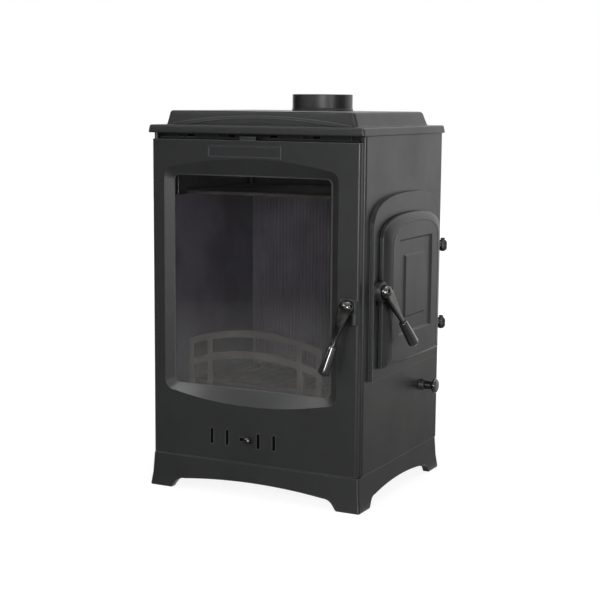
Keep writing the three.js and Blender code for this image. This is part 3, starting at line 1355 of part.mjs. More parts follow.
piece('front_door', frontDoor(), blackIron);
piece('front_door_glass', pane(), ceramicGlass);
piece('front_glass_gasket', glassTape(), ropeFibre);
clipPlaces().forEach(([x, z], i) => piece(`glass_clip_${i + 1}`, glassClip(x, z), steel));
piece('front_door_gasket', ring(ROPE_PATH, ROPE, DOOR_BACK - ROPE_GROOVE + FIT, FRONT - FIT), ropeFibre);
piece('front_hinge_pin_lower', hingePin(BASE_HEIGHT - PIN_SOCKET, DOOR_BOTTOM + PIN_GRIP), steel);
piece('front_hinge_pin_upper', hingePin(DOOR_TOP - PIN_GRIP, BODY_TOP + PIN_SOCKET), steel);
piece('front_hinge_washer', hingeWasher(), steel);
piece('primary_air_slide', primaryAirSlide(), steel);
piece('primary_air_knob', primaryAirKnob(), nickel);
piece('air_slide_retainer_top', slideRetainer('top'), steel);
piece('air_slide_retainer_bottom', slideRetainer('bottom'), steel);
piece('airwash_slide', airwashSlide(), blackIron);

piece('side_door', sideDoor(), blackIron);
piece('side_door_gasket', sideRope(), ropeFibre);
piece('side_door_heat_shield', heatShield(), rawIron);
shieldScrewPlaces().forEach((z, i) => piece(`heat_shield_screw_${i + 1}`, shieldScrew(z), steel));
piece('side_hinge_pin_lower', sideHingePin(SIDE_HINGE_Z[0]), steel);
piece('side_hinge_pin_upper', sideHingePin(SIDE_HINGE_Z[1]), steel);

const frontSeat = FRONT_BOSS + DOOR + DOOR_SEAT + FRAME + FIT;
latch('front', frontSeat, FRONT_HANG, AXES.y, [FRONT_HUB.x, DOOR_FACE - FRONT_BOSS, FRONT_HUB.z]);
const sideSeat = SIDE_LUG_RISE + LEAF_SEAT + SURROUND_RISE + WALL + FIT;
latch('side', sideSeat, SIDE_HANG, AXES.x, [LEAF_BACK + SIDE_LUG_RISE, SIDE_HUB.y, SIDE_HUB.z]);

piece('left_liner', sideLiner(-1), plateIron);
piece('right_liner', sideLiner(1), plateIron);
piece('rear_liner', rearLiner(), plateIron);
piece('baffle_plate', bafflePlate(), rawIron);
piece('grate_bearer_front', bearer(FIREBOX_FRONT - 2 * GUARD, GRATE_FRONT + BEARER_LAP), rawIron);
piece('grate_bearer_rear', bearer(GRATE_BACK - BEARER_LAP, REAR_BACK), rawIron);
piece('riddling_grate', riddlingGrate(), rawIron);
piece('riddling_rod', riddlingRod(), steel);
piece('riddling_knob', riddlingKnob(), blackNickel);
piece('log_guard', logGuard(), rawIron);
piece('ash_pan', ashPan(), steel);

// The origin: the middle of the stove's footprint box, on the floor.
const extent = new THREE.Box3().setFromObject(stove, true);
stove.position.set(-(extent.min.x + extent.max.x) / 2, -(extent.min.y + extent.max.y) / 2, -extent.min.z);

export default stove;
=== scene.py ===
"""A free-standing cast-iron wood stove, dressed around its frame and set on a white studio floor.

Lengths in the helpers are millimetres in the stove's own terms: x to the right and y to the back from the middle
of the body, z up from the floor. at() turns them into the frame's metres.
"""
import json
import math

import bpy
from mathutils import Matrix, Vector


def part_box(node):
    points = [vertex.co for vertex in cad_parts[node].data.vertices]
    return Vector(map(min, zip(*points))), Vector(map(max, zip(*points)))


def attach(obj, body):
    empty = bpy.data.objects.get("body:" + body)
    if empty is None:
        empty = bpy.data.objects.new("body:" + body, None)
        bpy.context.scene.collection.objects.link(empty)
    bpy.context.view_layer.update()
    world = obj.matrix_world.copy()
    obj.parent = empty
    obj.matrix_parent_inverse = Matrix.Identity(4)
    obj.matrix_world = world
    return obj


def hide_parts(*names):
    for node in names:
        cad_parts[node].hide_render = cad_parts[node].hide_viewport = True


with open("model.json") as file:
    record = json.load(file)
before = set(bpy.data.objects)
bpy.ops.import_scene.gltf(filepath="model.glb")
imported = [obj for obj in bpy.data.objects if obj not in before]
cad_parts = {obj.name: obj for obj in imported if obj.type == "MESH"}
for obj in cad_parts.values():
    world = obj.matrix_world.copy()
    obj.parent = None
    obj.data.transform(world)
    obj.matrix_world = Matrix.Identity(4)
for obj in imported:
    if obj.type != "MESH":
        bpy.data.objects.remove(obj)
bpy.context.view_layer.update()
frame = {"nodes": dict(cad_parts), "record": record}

MM = 0.001
BACK_LOW, BACK_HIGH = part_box("back_panel")
SIDE_LOW, SIDE_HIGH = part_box("left_side_panel")
MIDDLE_X = (BACK_LOW.x + BACK_HIGH.x) / 2
MIDDLE_Y = (SIDE_LOW.y + SIDE_HIGH.y) / 2


def at(x, y, z):
    """A place in the frame's metres from millimetres about the middle of the body."""
    return Vector((MIDDLE_X + x * MM, MIDDLE_Y + y * MM, z * MM))


def stove_mm(place):
    """The other way round: millimetres about the middle of the body from a place in metres."""
    return Vector(((place.x - MIDDLE_X) / MM, (place.y - MIDDLE_Y) / MM, place.z / MM))


# ---- The photograph's view ----
CAMERA_AZIMUTH = 26.68
CAMERA_ELEVATION = 8.45
CAMERA_ROLL = 0.46
CAMERA_DISTANCE = 2.942
CAMERA_AIM = at(0, 0, 352.9)
CAMERA_LENS, CAMERA_SENSOR = 84.79, 36
CAMERA_SHIFT = (-0.0017, 0.0155)


def set_camera():
    """Sets the camera where the photograph was taken from."""
    azimuth, elevation, roll = (math.radians(v) for v in (CAMERA_AZIMUTH, CAMERA_ELEVATION, CAMERA_ROLL))
    level = math.cos(elevation)
    back = Vector((math.sin(azimuth) * level, -math.cos(azimuth) * level, math.sin(elevation)))
    right = Vector((math.cos(azimuth), math.sin(azimuth), 0))
    up = back.cross(right)
    across = right * math.cos(roll) + up * math.sin(roll)
    upward = up * math.cos(roll) - right * math.sin(roll)
    data = bpy.data.cameras.new("photo_view")
    data.lens = CAMERA_LENS
    data.sensor_width = CAMERA_SENSOR
    data.shift_x, data.shift_y = CAMERA_SHIFT
    camera = bpy.data.objects.new("photo_view", data)
    bpy.context.scene.collection.objects.link(camera)
    turn = Matrix((across, upward, back)).transposed().to_4x4()
    camera.matrix_world = Matrix.Translation(CAMERA_AIM + back * CAMERA_DISTANCE) @ turn
    bpy.context.scene.camera = camera


# ---- Materials ----
def new_finish(name):
    """A new material with its node tree and its shader."""
    material = bpy.data.materials.new(name)
    material.use_nodes = True
    tree = material.node_tree
    return material, tree, tree.nodes["Principled BSDF"]


def add(tree, kind, settings=None, **sockets):
    """Adds a node; a socket is given a value or linked to another node's output."""
    node = tree.nodes.new(kind)
    for key, value in (settings or {}).items():
        setattr(node, key, value)
    for key, value in sockets.items():
        socket = node.inputs[int(key[1:])] if key[1:].isdigit() else node.inputs[key.replace("_", " ")]
        if isinstance(value, bpy.types.NodeSocket):
            tree.links.new(value, socket)
        else:
            socket.default_value = value
    return node


def on_object(tree, scale=(1, 1, 1)):
    """Places on the object itself, stretched by a scale."""
    coords = add(tree, "ShaderNodeTexCoord").outputs["Object"]
    return add(tree, "ShaderNodeMapping", Vector=coords, Scale=scale).outputs["Vector"]


def noise(tree, vector, scale, detail=3.0, roughness=0.5):
    node = add(tree, "ShaderNodeTexNoise", Vector=vector, Scale=scale, Detail=detail, Roughness=roughness)
    return node.outputs["Fac"]


def ramp(tree, fac, low, high, low_value, high_value):
    """A value that runs from one to the other while fac runs from low to high."""
    node = add(
        tree, "ShaderNodeMapRange", {"interpolation_type": "SMOOTHSTEP"}, Value=fac,
        **{"From_Min": low, "From_Max": high, "To_Min": low_value, "To_Max": high_value},
    )
    return node.outputs["Result"]


def rgb(*values):
    return (*values, 1.0)


def mix_colour(tree, fac, first, second):
    node = add(tree, "ShaderNodeMix", {"data_type": "RGBA"}, _0=fac, _6=first, _7=second)
    return node.outputs[2]


def painted_edge_highlight(tree, radius, amount):
    """A painted highlight: nearly 0 on flat faces and up to amount along edges."""
    soft = add(tree, "ShaderNodeBevel", {"samples": 6}, Radius=radius).outputs["Normal"]
    hard = add(tree, "ShaderNodeNewGeometry").outputs["Normal"]
    same = add(tree, "ShaderNodeVectorMath", {"operation": "DOT_PRODUCT"}, _0=soft, _1=hard).outputs["Value"]
    return ramp(tree, same, 0.75, 0.995, amount, 0.0)


def painted_crevice_shade(tree, reach, darkest):
    """Painted shade: 1 out in the open and down to darkest deep in gaps and corners."""
    open_sky = add(tree, "ShaderNodeAmbientOcclusion", {"samples": 8}, Distance=reach).outputs["AO"]
    return ramp(tree, open_sky, 0.2, 0.8, darkest, 1.0)


def lay(tree, shader, tone, roughness, bumps):
    """Gives a shader its tone, its roughness and its bumps, each a height between 0 and 1 and its depth in metres."""
    tree.links.new(tone, shader.inputs["Base Color"])
    tree.links.new(roughness, shader.inputs["Roughness"])
    normal = None
    for height, depth in bumps:
        node = add(tree, "ShaderNodeBump", Height=height, Distance=depth, Strength=1.0)
        if normal:
            tree.links.new(normal, node.inputs["Normal"])
        normal = node.outputs["Normal"]
    tree.links.new(normal, shader.inputs["Normal"])


def black_casting():
    """Satin black stove finish over fine sand-cast grain, with a painted highlight along its edges and painted shade
    in its gaps.
    """
    material, tree, shader = new_finish("black_casting")
    place = on_object(tree)
    blotches = noise(tree, place, 9, 4, 0.6)
    grain = noise(tree, place, 420, 3, 0.6)
    sand = noise(tree, place, 1500, 2, 0.5)
    clouds = ramp(tree, blotches, 0.3, 0.7, 0, 1)
    specks = ramp(tree, grain, 0.45, 0.75, 0, 0.35)
    edge_highlight = painted_edge_highlight(tree, 0.0022, 0.8)
    gap_shade = painted_crevice_shade(tree, 0.03, 0.15)
    tone = mix_colour(tree, clouds, rgb(0.0145, 0.0147, 0.0158), rgb(0.021, 0.0213, 0.0222))
    tone = mix_colour(tree, specks, tone, rgb(0.036, 0.037, 0.039))
    # Paler along edges: a painted highlight.
    tone = mix_colour(tree, edge_highlight, tone, rgb(0.19, 0.198, 0.205))
    # Painted shade in gaps and corners, darkening both the tone and the specular level.
    tone = mix_colour(tree, gap_shade, rgb(0.003, 0.003, 0.003), tone)
    tree.links.new(ramp(tree, gap_shade, 0.15, 1.0, 0.08, 0.44), shader.inputs["Specular IOR Level"])
    roughness = ramp(tree, blotches, 0.25, 0.75, 0.38, 0.31)
    lay(tree, shader, tone, roughness, [(blotches, 0.0005), (grain, 0.00012), (sand, 0.00006)])
    return material


def bare_casting():
    """Unpainted grey iron, browned by the fire."""
    material, tree, shader = new_finish("bare_casting")
    place = on_object(tree)
    patches = noise(tree, place, 16, 5, 0.65)
    grain = noise(tree, place, 600, 3, 0.6)
    tone = mix_colour(tree, ramp(tree, patches, 0.3, 0.7, 0, 1), rgb(0.014, 0.013, 0.0115), rgb(0.027, 0.0245, 0.022))
    roughness = ramp(tree, patches, 0.3, 0.7, 0.78, 0.62)
    lay(tree, shader, tone, roughness, [(patches, 0.0005), (grain, 0.0002)])
    return material


def firebox_lining():
    """Lining plates with a violet-grey bloom of soot."""
    material, tree, shader = new_finish("firebox_lining")
    place = on_object(tree)
    soot = noise(tree, place, 7, 4, 0.6)
    grain = noise(tree, place, 700, 3, 0.5)
    tone = mix_colour(tree, ramp(tree, soot, 0.35, 0.7, 0, 1), rgb(0.034, 0.033, 0.042), rgb(0.056, 0.054, 0.067))
    roughness = ramp(tree, soot, 0.3, 0.7, 0.7, 0.55)
    lay(tree, shader, tone, roughness, [(grain, 0.00015)])
    return material


def handle_metal():
    """Dark plating, a little cloudy and finely scratched."""
    material, tree, shader = new_finish("handle_metal")
    place = on_object(tree)
    clouds = noise(tree, place, 60, 3, 0.5)
    scratches = noise(tree, on_object(tree, (400, 400, 2500)), 1, 2, 0.5)
    tone = mix_colour(tree, clouds, rgb(0.07, 0.069, 0.067), rgb(0.14, 0.137, 0.13))
    shader.inputs["Metallic"].default_value = 1.0
    roughness = ramp(tree, clouds, 0.3, 0.7, 0.12, 0.22)
    lay(tree, shader, tone, roughness, [(clouds, 0.0004), (scratches, 0.00002)])
    return material


def black_grip():
    """Black varnished handle."""
    material, tree, shader = new_finish("black_grip")
    place = on_object(tree)
    clouds = noise(tree, place, 90, 2, 0.5)
    tone = mix_colour(tree, clouds, rgb(0.008, 0.008, 0.009), rgb(0.016, 0.016, 0.018))
    shader.inputs["Coat Weight"].default_value = 1.0
    roughness = ramp(tree, clouds, 0.3, 0.7, 0.06, 0.12)
    lay(tree, shader, tone, roughness, [(clouds, 0.00003)])
    return material


def steel(name, dark, light, rough):
    """Bare steel with fine drawn lines."""
    material, tree, shader = new_finish(name)
    place = on_object(tree)
    clouds = noise(tree, place, 45, 4, 0.6)
    lines = noise(tree, on_object(tree, (1800, 1800, 90)), 1, 2, 0.5)
    tone = mix_colour(tree, clouds, rgb(*dark), rgb(*light))
    shader.inputs["Metallic"].default_value = 1.0
    roughness = ramp(tree, clouds, 0.3, 0.7, rough, rough + 0.15)
    lay(tree, shader, tone, roughness, [(lines, 0.00003)])
    return material


def rope_seal():
    """Knitted glass-fibre rope, as fine crossed stitches."""
    material, tree, shader = new_finish("rope_seal")
    knit = add(
        tree, "ShaderNodeTexWave", {"wave_type": "BANDS", "bands_direction": "DIAGONAL"},
        Vector=on_object(tree), Scale=260, Distortion=1.5, Detail=2,
    ).outputs["Fac"]
    fuzz = noise(tree, on_object(tree), 900, 3, 0.6)
    tone = mix_colour(tree, knit, rgb(0.03, 0.03, 0.03), rgb(0.075, 0.073, 0.07))
    roughness = ramp(tree, fuzz, 0.3, 0.7, 0.95, 0.85)
    lay(tree, shader, tone, roughness, [(knit, 0.0004), (fuzz, 0.0002)])
    return material


def fire_glass():
    """Clear heat-proof glass with a faint, patchy pale film that thickens towards its foot, a painted reflection of
    the floor.
    """
    material, tree, shader = new_finish("fire_glass")
    place = on_object(tree)
    reflection_patches = noise(tree, place, 5, 4, 0.6)
    shader.inputs["Roughness"].default_value = 0.0
    tone = mix_colour(tree, reflection_patches, rgb(0.86, 0.85, 0.86), rgb(0.78, 0.77, 0.74))
    tree.links.new(tone, shader.inputs["Base Color"])
    # Less clear and paler towards the foot: a painted reflection of the floor.
    height = add(tree, "ShaderNodeSeparateXYZ", Vector=place).outputs["Z"]
    painted_reflection_height = add(tree, "ShaderNodeMath", {"operation": "MULTIPLY_ADD"}, _0=reflection_patches, _1=0.12, _2=height).outputs[0]
    clear = ramp(tree, painted_reflection_height, 0.26, 0.52, 0.97, 0.998)
    tree.links.new(clear, shader.inputs["Transmission Weight"])
    shader.inputs["IOR"].default_value = 1.5
    through = add(tree, "ShaderNodeBsdfTransparent", Color=rgb(0.72, 0.7, 0.7))
    shadow = add(tree, "ShaderNodeLightPath").outputs["Is Shadow Ray"]
    mixed = add(tree, "ShaderNodeMixShader", _0=shadow, _1=shader.outputs[0], _2=through.outputs[0])
    tree.links.new(mixed.outputs[0], tree.nodes["Material Output"].inputs["Surface"])
    return material


FINISHES = {
    "black_casting": black_casting(),
    "bare_casting": bare_casting(),
    "firebox_lining": firebox_lining(),
    "handle_metal": handle_metal(),
    "black_grip": black_grip(),
    "dark_steel": steel("dark_steel", (0.03, 0.03, 0.03), (0.07, 0.07, 0.07), 0.35),
    "sheet_steel": steel("sheet_steel", (0.09, 0.09, 0.095), (0.17, 0.165, 0.16), 0.35),
    "rope_seal": rope_seal(),
    "fire_glass": fire_glass(),
}


# ---- Modelling helpers ----
def deselect():
    bpy.ops.object.select_all(action="DESELECT")


def take(piece):
    """Makes this the one piece that the next operators act on."""
    deselect()
    piece.select_set(True)
    bpy.context.view_layer.objects.active = piece


def settle(piece, name=None):
    """Puts a piece's place, turn and size into its mesh."""
    take(piece)
    bpy.ops.object.transform_apply(location=True, rotation=True, scale=True)
    if name:
        piece.name = name
    return piece


def modifier(piece, kind, **settings):
    """Adds a modifier and applies it."""
    take(piece)
    made = piece.modifiers.new(kind.lower(), kind)
    for key, value in settings.items():
        setattr(made, key, value)
    bpy.ops.object.modifier_apply(modifier=made.name)


def smooth(piece, degrees):
    take(piece)
    bpy.ops.object.shade_smooth_by_angle(angle=math.radians(degrees))


def edit(piece, kind="FACE"):
    take(piece)
    bpy.ops.object.mode_set(mode="EDIT")
    bpy.ops.mesh.select_mode(type=kind)


def edit_all(piece, kind="FACE"):
    """Opens a piece with everything selected."""
    edit(piece, kind)
    bpy.ops.mesh.select_all(action="SELECT")


def finish_edit():
    bpy.ops.object.mode_set(mode="OBJECT")


def pick_faces(piece, axis, sign=1):
    """Opens a piece with the faces selected that look along an axis, or against it with a sign of -1."""
    edit(piece)
    bpy.ops.mesh.select_all(action="DESELECT")
    finish_edit()
    for face in piece.data.polygons:
        face.select = sign * face.normal["xyz".index(axis)] > 0.9
    bpy.ops.object.mode_set(mode="EDIT")


def pick_edges(piece, wanted):
    """Opens a piece with the edges selected for which wanted(end, other end) holds."""
    edit(piece, "EDGE")
    bpy.ops.mesh.select_all(action="DESELECT")
    finish_edit()
    ends = [stove_mm(vertex.co) for vertex in piece.data.vertices]
    for line in piece.data.edges:
        line.select = wanted(*(ends[v] for v in line.vertices))
    bpy.ops.object.mode_set(mode="EDIT")


def soften(width, segments):
    """Rounds the selected edges and closes the piece."""
    bpy.ops.mesh.bevel(offset=width * MM, offset_type="OFFSET", segments=segments, profile=0.5, affect="EDGES")
    finish_edit()


def push(x=0, y=0, z=0):
    """Extrudes what is selected by millimetres."""
    bpy.ops.mesh.extrude_region_move(TRANSFORM_OT_translate={"value": (x * MM, y * MM, z * MM)})


def draw_in(scale, centre):
    """Scales what is selected about a place."""
    bpy.ops.transform.resize(value=scale, center_override=centre)


def narrower(wide, deep, inset, was=0):
    """The scale that takes a plate with these half sizes from one inset on all its sides to another."""
    return (wide - inset) / (wide - was), (deep - inset) / (deep - was), 1


def block(name, x0, x1, y0, y1, z0, z1):
    """A box between two corners, the start of a piece or of a cut."""
    low, high = at(x0, y0, z0), at(x1, y1, z1)
    deselect()
    bpy.ops.mesh.primitive_cube_add(size=1, location=(low + high) / 2, scale=high - low)
    return settle(bpy.context.active_object, name)


def bar(name, radius, start, end, sides=48):
    """A round bar between two places."""
    along = end - start
    deselect()
    bpy.ops.mesh.primitive_cylinder_add(
        vertices=sides, radius=radius * MM, depth=along.length, location=(start + end) / 2,
        rotation=along.to_track_quat("Z", "Y").to_euler(),
    )
    return settle(bpy.context.active_object, name)


PLANES = {
    "x": lambda level, u, v: at(level, u, v),
    "y": lambda level, u, v: at(u, level, v),
}


def drawn(name, axis, level, knots, steps):
    """A flat face across an axis; each corner is (u, v), or (u, v, handle before, handle after) on a curve."""
    place = PLANES[axis]
    deselect()
    bpy.ops.curve.primitive_bezier_circle_add(location=(0, 0, 0))
    line = bpy.context.active_object
    line.data.resolution_u = steps
    spline = line.data.splines[0]
    spline.bezier_points.add(len(knots) - len(spline.bezier_points))
    for point, (u, v, *handles) in zip(spline.bezier_points, knots):
        before, after = handles or (None, None)
        point.handle_left_type = "FREE" if before else "VECTOR"
        point.handle_right_type = "FREE" if after else "VECTOR"
        point.co = place(level, u, v)
        point.handle_left = place(level, *(before or (u, v)))
        point.handle_right = place(level, *(after or (u, v)))
    bpy.ops.object.convert(target="MESH")
    piece = settle(bpy.context.active_object, name)
    edit_all(piece, "VERT")
    bpy.ops.mesh.remove_doubles(threshold=1e-6)
    bpy.ops.mesh.edge_face_add()
    finish_edit()
    return piece


def drawn_solid(name, axis, low, high, knots, steps=14):
    """A drawn face carried from one level to another."""
    piece = drawn(name, axis, low, knots, steps)
    edit_all(piece)
    push(**{axis: high - low})
    finish_edit()
    turn_out(piece)
    return piece


def turn_out(piece):
    """Merges doubled points and makes every face point outwards."""
    edit_all(piece)
    bpy.ops.mesh.remove_doubles(threshold=1e-6)
    bpy.ops.mesh.normals_make_consistent(inside=False)
    finish_edit()


def turned(name, profile, foot, direction, steps):
    """A turned piece: a profile of (radius, height) points spun about an axis that stands on foot."""
    deselect()
    bpy.ops.mesh.primitive_plane_add(size=0.001, location=(0, 0, 0))
    piece = bpy.context.active_object
    edit_all(piece, "VERT")
    bpy.ops.mesh.merge(type="CENTER")
    bpy.ops.transform.translate(value=(profile[0][0] * MM, 0, profile[0][1] * MM))
    for (r0, h0), (r1, h1) in zip(profile, profile[1:]):
        push(x=r1 - r0, z=h1 - h0)
    bpy.ops.mesh.select_all(action="SELECT")
    bpy.ops.mesh.spin(steps=steps, angle=math.tau, center=(0, 0, 0), axis=(0, 0, 1))
    finish_edit()
    turn_out(piece)
    piece.location = foot
    piece.rotation_euler = Vector(direction).to_track_quat("Z", "Y").to_euler()
    return settle(piece, name)


def combine(piece, operation, *tools):
    """Joins other solids to a piece or cuts them out of it, and clears them away."""
    for tool in tools:
        modifier(piece, "BOOLEAN", operation=operation, object=tool, solver="EXACT")
        bpy.data.objects.remove(tool)
    return piece


def join(piece, *others):
    return combine(piece, "UNION", *others)


def cut(piece, *cutters):
    return combine(piece, "DIFFERENCE", *cutters)


def round_edges(piece, width, degrees=32, segments=3, crisp=31):
    """Rounds the edges that turn by more than some degrees, and shades as one what turns by less than crisp."""
    modifier(
        piece, "BEVEL", width=width * MM, segments=segments, limit_method="ANGLE",
        angle_limit=math.radians(degrees), use_clamp_overlap=True, miter_outer="MITER_ARC",
    )
    smooth(piece, crisp)
    modifier(piece, "WEIGHTED_NORMAL", keep_sharp=True, weight=60)
    return piece


def body_and_slot(node):
    """The moving body that a construction node belongs to, and its material slot."""
    body = next(name for name, nodes in frame["record"]["behaviour"]["bodies"].items() if node in nodes)
    slot = next(part["material_slot"] for part in frame["record"]["subparts"] if part["node"] == node)
    return body, slot


def dress(piece, node):
    """Paints a finished piece and lets it stand for a construction node and move with its body."""
    body, slot = body_and_slot(node)
    piece.name = "cast_" + node if slot == "black_casting" else "made_" + node
    piece.data.materials.clear()
    piece.data.materials.append(FINISHES[slot])
    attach(piece, body)
    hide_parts(node)
    return piece


def rounded_copy(node, width):
    """A copy of a construction node, with its edges rounded as a casting's are."""
    piece = bpy.data.objects.new(node + "_copy", frame["nodes"][node].data.copy())
    bpy.context.scene.collection.objects.link(piece)
    edit_all(piece)
    bpy.ops.mesh.remove_doubles(threshold=2e-6)
    finish_edit()
    return dress(round_edges(piece, width), node)


# ---- The stove's main levels and faces ----
SIDE = 230
FRONT, BACK = -193, 193
INSIDE = 222                      # inner face of the right side casting
SKIRT = 236                       # half width of the base at the floor, and of the top plate
SKIRT_FRONT, SKIRT_BACK = -215, 199
SKIRT_MIDDLE = (SKIRT_FRONT + SKIRT_BACK) / 2
SKIRT_DEEP = (SKIRT_BACK - SKIRT_FRONT) / 2
GAP = 0.3                         # between castings that stand on one another
BASE_TOP = 68
DOOR_FACE, DOOR_BACK = -209, -194.5
DOOR_LOW, DOOR_HIGH = 69.6, 706
PLATE_LOW, PLATE_HIGH = 718, 734
HOOD_TOP = 762
FLUE_RADIUS, COLLAR_RADIUS, COLLAR_TALL = 55, 63, 34
COLLAR_AT = (0, 93)
BOLT_CIRCLE = 59
BOLT_AT = [
    (BOLT_CIRCLE * math.cos(math.radians(d)), COLLAR_AT[1] + BOLT_CIRCLE * math.sin(math.radians(d)))
    for d in (30, 150, 270)
]
TIE_AT = [(x, y) for x in (-214.2, 214.2) for y in (-133.5, 175.5)]
HINGE_AT = (-222.75, -201.75)
LATCH_AT = (206, 400)             # x and z of the front lever
LATCH_FACE = -218
SIDE_LATCH_AT = (-150, 424)       # y and z of the side lever
SIDE_LATCH_FACE = 252.2
SIDE_HINGE = (245, 172)
SIDE_HINGE_Z = (321, 485)
SURROUND_FACE = 239               # outer face of the side door's surround and of the rod's boss
ROD_AT = (103, 198.3)             # y and z of the riddling rod
AIR_HOLE_X = (-92.5, -57.5, 12.5, 47.5)
AIR_Z = 117

# Radii of holes.
PIN_HOLE, SIDE_PIN_HOLE, BOLT_HOLE, SPINDLE_HOLE, ROD_HOLE = 4.3, 3.3, 2.8, 5.3, 4.6
# Radius of a side hinge's knuckles, and how far each half reaches and keeps from the plane where they meet.
KNUCKLE, KNUCKLE_LONG, KNUCKLE_GAP = 9, 12.5, 0.15


def upright(name, radius, place, low, high, sides=32):
    """A round bar that stands on end."""
    x, y = place
    return bar(name, radius, at(x, y, low), at(x, y, high), sides)


def crowned(half, foot, spring, crown):
    """The corners of an upright panel with a flat foot and a crowned top."""
    swell = spring + 0.8 * (crown - spring)
    return [
        (-half, foot),
        (half, foot),
        (half, spring, (half, spring - 1), (half, swell)),
        (0, crown, (0.56 * half, crown), (-0.56 * half, crown)),
        (-half, spring, (-half, swell), (-half, spring - 1)),
    ]


def toward(start, control):
    """The place two thirds of the way from one place to another."""
    return tuple(a + (b - a) * (2 / 3) for a, b in zip(start, control))


def bowed_edge(start, end, rise):
    """Handles of an edge between two corners that bows by a rise at its middle."""
    control = ((start[0] + end[0]) / 2, start[1] + 2 * rise)
    return toward(start, control), toward(end, control)


WINDOW_X, WINDOW_Z = (-181, 165), (219, 636)


def window(grow, bow, r):
    """The corners of the sight window's outline, with bowed top and bottom edges and soft corners."""
    x0, x1 = WINDOW_X[0] - 1.2 * grow, WINDOW_X[1] + grow
    z0, z1 = WINDOW_Z[0] - grow, WINDOW_Z[1] + grow
    foot_out, foot_in = bowed_edge((x0 + r, z0), (x1 - r, z0), -bow)
    head_out, head_in = bowed_edge((x1 - r, z1), (x0 + r, z1), bow)
    k = r * 0.4
    return [
        (x0 + r, z0, (x0 + k, z0), foot_out),
        (x1 - r, z0, foot_in, (x1 - k, z0)),
        (x1, z0 + r, (x1, z0 + k), (x1, z0 + 2 * r)),
        (x1, z1 - r, (x1, z1 - 2 * r), (x1, z1 - k)),
        (x1 - r, z1, (x1 - k, z1), head_out),
        (x0 + r, z1, head_in, (x0 + k, z1)),
        (x0, z1 - r, (x0, z1 - k), (x0, z1 - 2 * r)),
        (x0, z0 + r, (x0, z0 + 2 * r), (x0, z0 + k)),
    ]


# ---- Base casting ----
def apron_arch(low, high):
    """Corners of the open space under an apron, between two feet."""
    long, rise, bow = 32, 21.7, 9.3
    top_out, top_in = bowed_edge((low + long, rise), (high - long, rise), bow)
    return [
        (low - 2, -2),
        (low, 0, (low - 1, -1), (low + 0.3 * long, 0.55 * rise)),
        (low + long, rise, (low + 0.4 * long, rise), top_out),
        (high - long, rise, top_in, (high - 0.4 * long, rise)),
        (high, 0, (high - 0.3 * long, 0.55 * rise), (high + 1, -1)),
        (high + 2, -2),
    ]


FLARE, FLARE_LEVEL = 3.6, 27.2    # how far the aprons have drawn in from the floor, and at which level


def base_casting():
    """Deck and aprons that flare down into four feet, with shallow arches between them."""
    piece = block("base", -SKIRT, SKIRT, SKIRT_FRONT, SKIRT_BACK, 0, FLARE_LEVEL)
    middle = at(0, SKIRT_MIDDLE, 0)
    pick_faces(piece, "z")
    draw_in(narrower(SKIRT, SKIRT_DEEP, FLARE), middle)
    push(z=BASE_TOP - FLARE_LEVEL)
    draw_in(narrower(SKIRT, SKIRT_DEEP, SKIRT - SIDE, FLARE), middle)
    finish_edit()
    pick_edges(piece, lambda a, b: abs(a.z - b.z) > 20)
    soften(4.5, 6)
    pick_edges(piece, lambda a, b: max(a.z, b.z) < 0.5)
    soften(3, 4)
    cut(
        piece,
        block("pit", -221, 221, -200, 184, -2, 60),
        drawn_solid("front_arch", "y", -220, 205, apron_arch(-186, 186)),
        drawn_solid("side_arch", "x", -240, 240, apron_arch(-165, 149)),
        upright("pin", PIN_HOLE, HINGE_AT, BASE_TOP - 10.3, BASE_TOP + 2),
        *[upright("tie", BOLT_HOLE, place, 50, BASE_TOP + 2, 16) for place in TIE_AT],
    )
    return dress(round_edges(piece, 1.8), "base_casting")


# ---- Right side casting ----
SURROUND = (170, 250, 548, 607)
SIDE_OPENING = (125, 294, 509.5, 546)


def raised_surround():
    """The slightly tapered, crowned rise round the loading door."""
    half, foot, _, crown = SURROUND
    tall = crown - foot
    piece = drawn_solid("surround", "x", SIDE - 1, SURROUND_FACE, crowned(*SURROUND), 24)
    pick_faces(piece, "x")
    draw_in((1, (half - 1.4) / half, (tall - 1.8) / tall), at(SURROUND_FACE, 0, foot + tall / 2))
    finish_edit()
    return piece


def rod_boss():
    """Round boss, wider at its foot, that the riddling rod comes out of."""
    foot = at(SIDE - 1, *ROD_AT)
    piece = bar("rod_boss", 10, foot, at(SURROUND_FACE, *ROD_AT))
    pick_faces(piece, "x", -1)
    draw_in((1, 1.25, 1.25), foot)
    finish_edit()
    return piece


def lower_hinge_half(z):
    """A knuckle under the meeting plane of a side hinge, and the web that holds it."""
    foot = z - KNUCKLE_LONG
    knuckle = upright("knuckle", KNUCKLE, SIDE_HINGE, foot, z - KNUCKLE_GAP, 40)
    pick_edges(knuckle, lambda a, b: abs(a.z - b.z) < 0.1 and abs(a.z - foot) < 0.1)
    soften(8, 8)
    web = block("web", SIDE - 1, 243, 168, 176, z - 9, z - KNUCKLE_GAP)
    pick_edges(web, lambda a, b: abs(a.x - b.x) > 10 and min(a.z, b.z) < z - 8)
    soften(2.5, 3)
    return knuckle, web


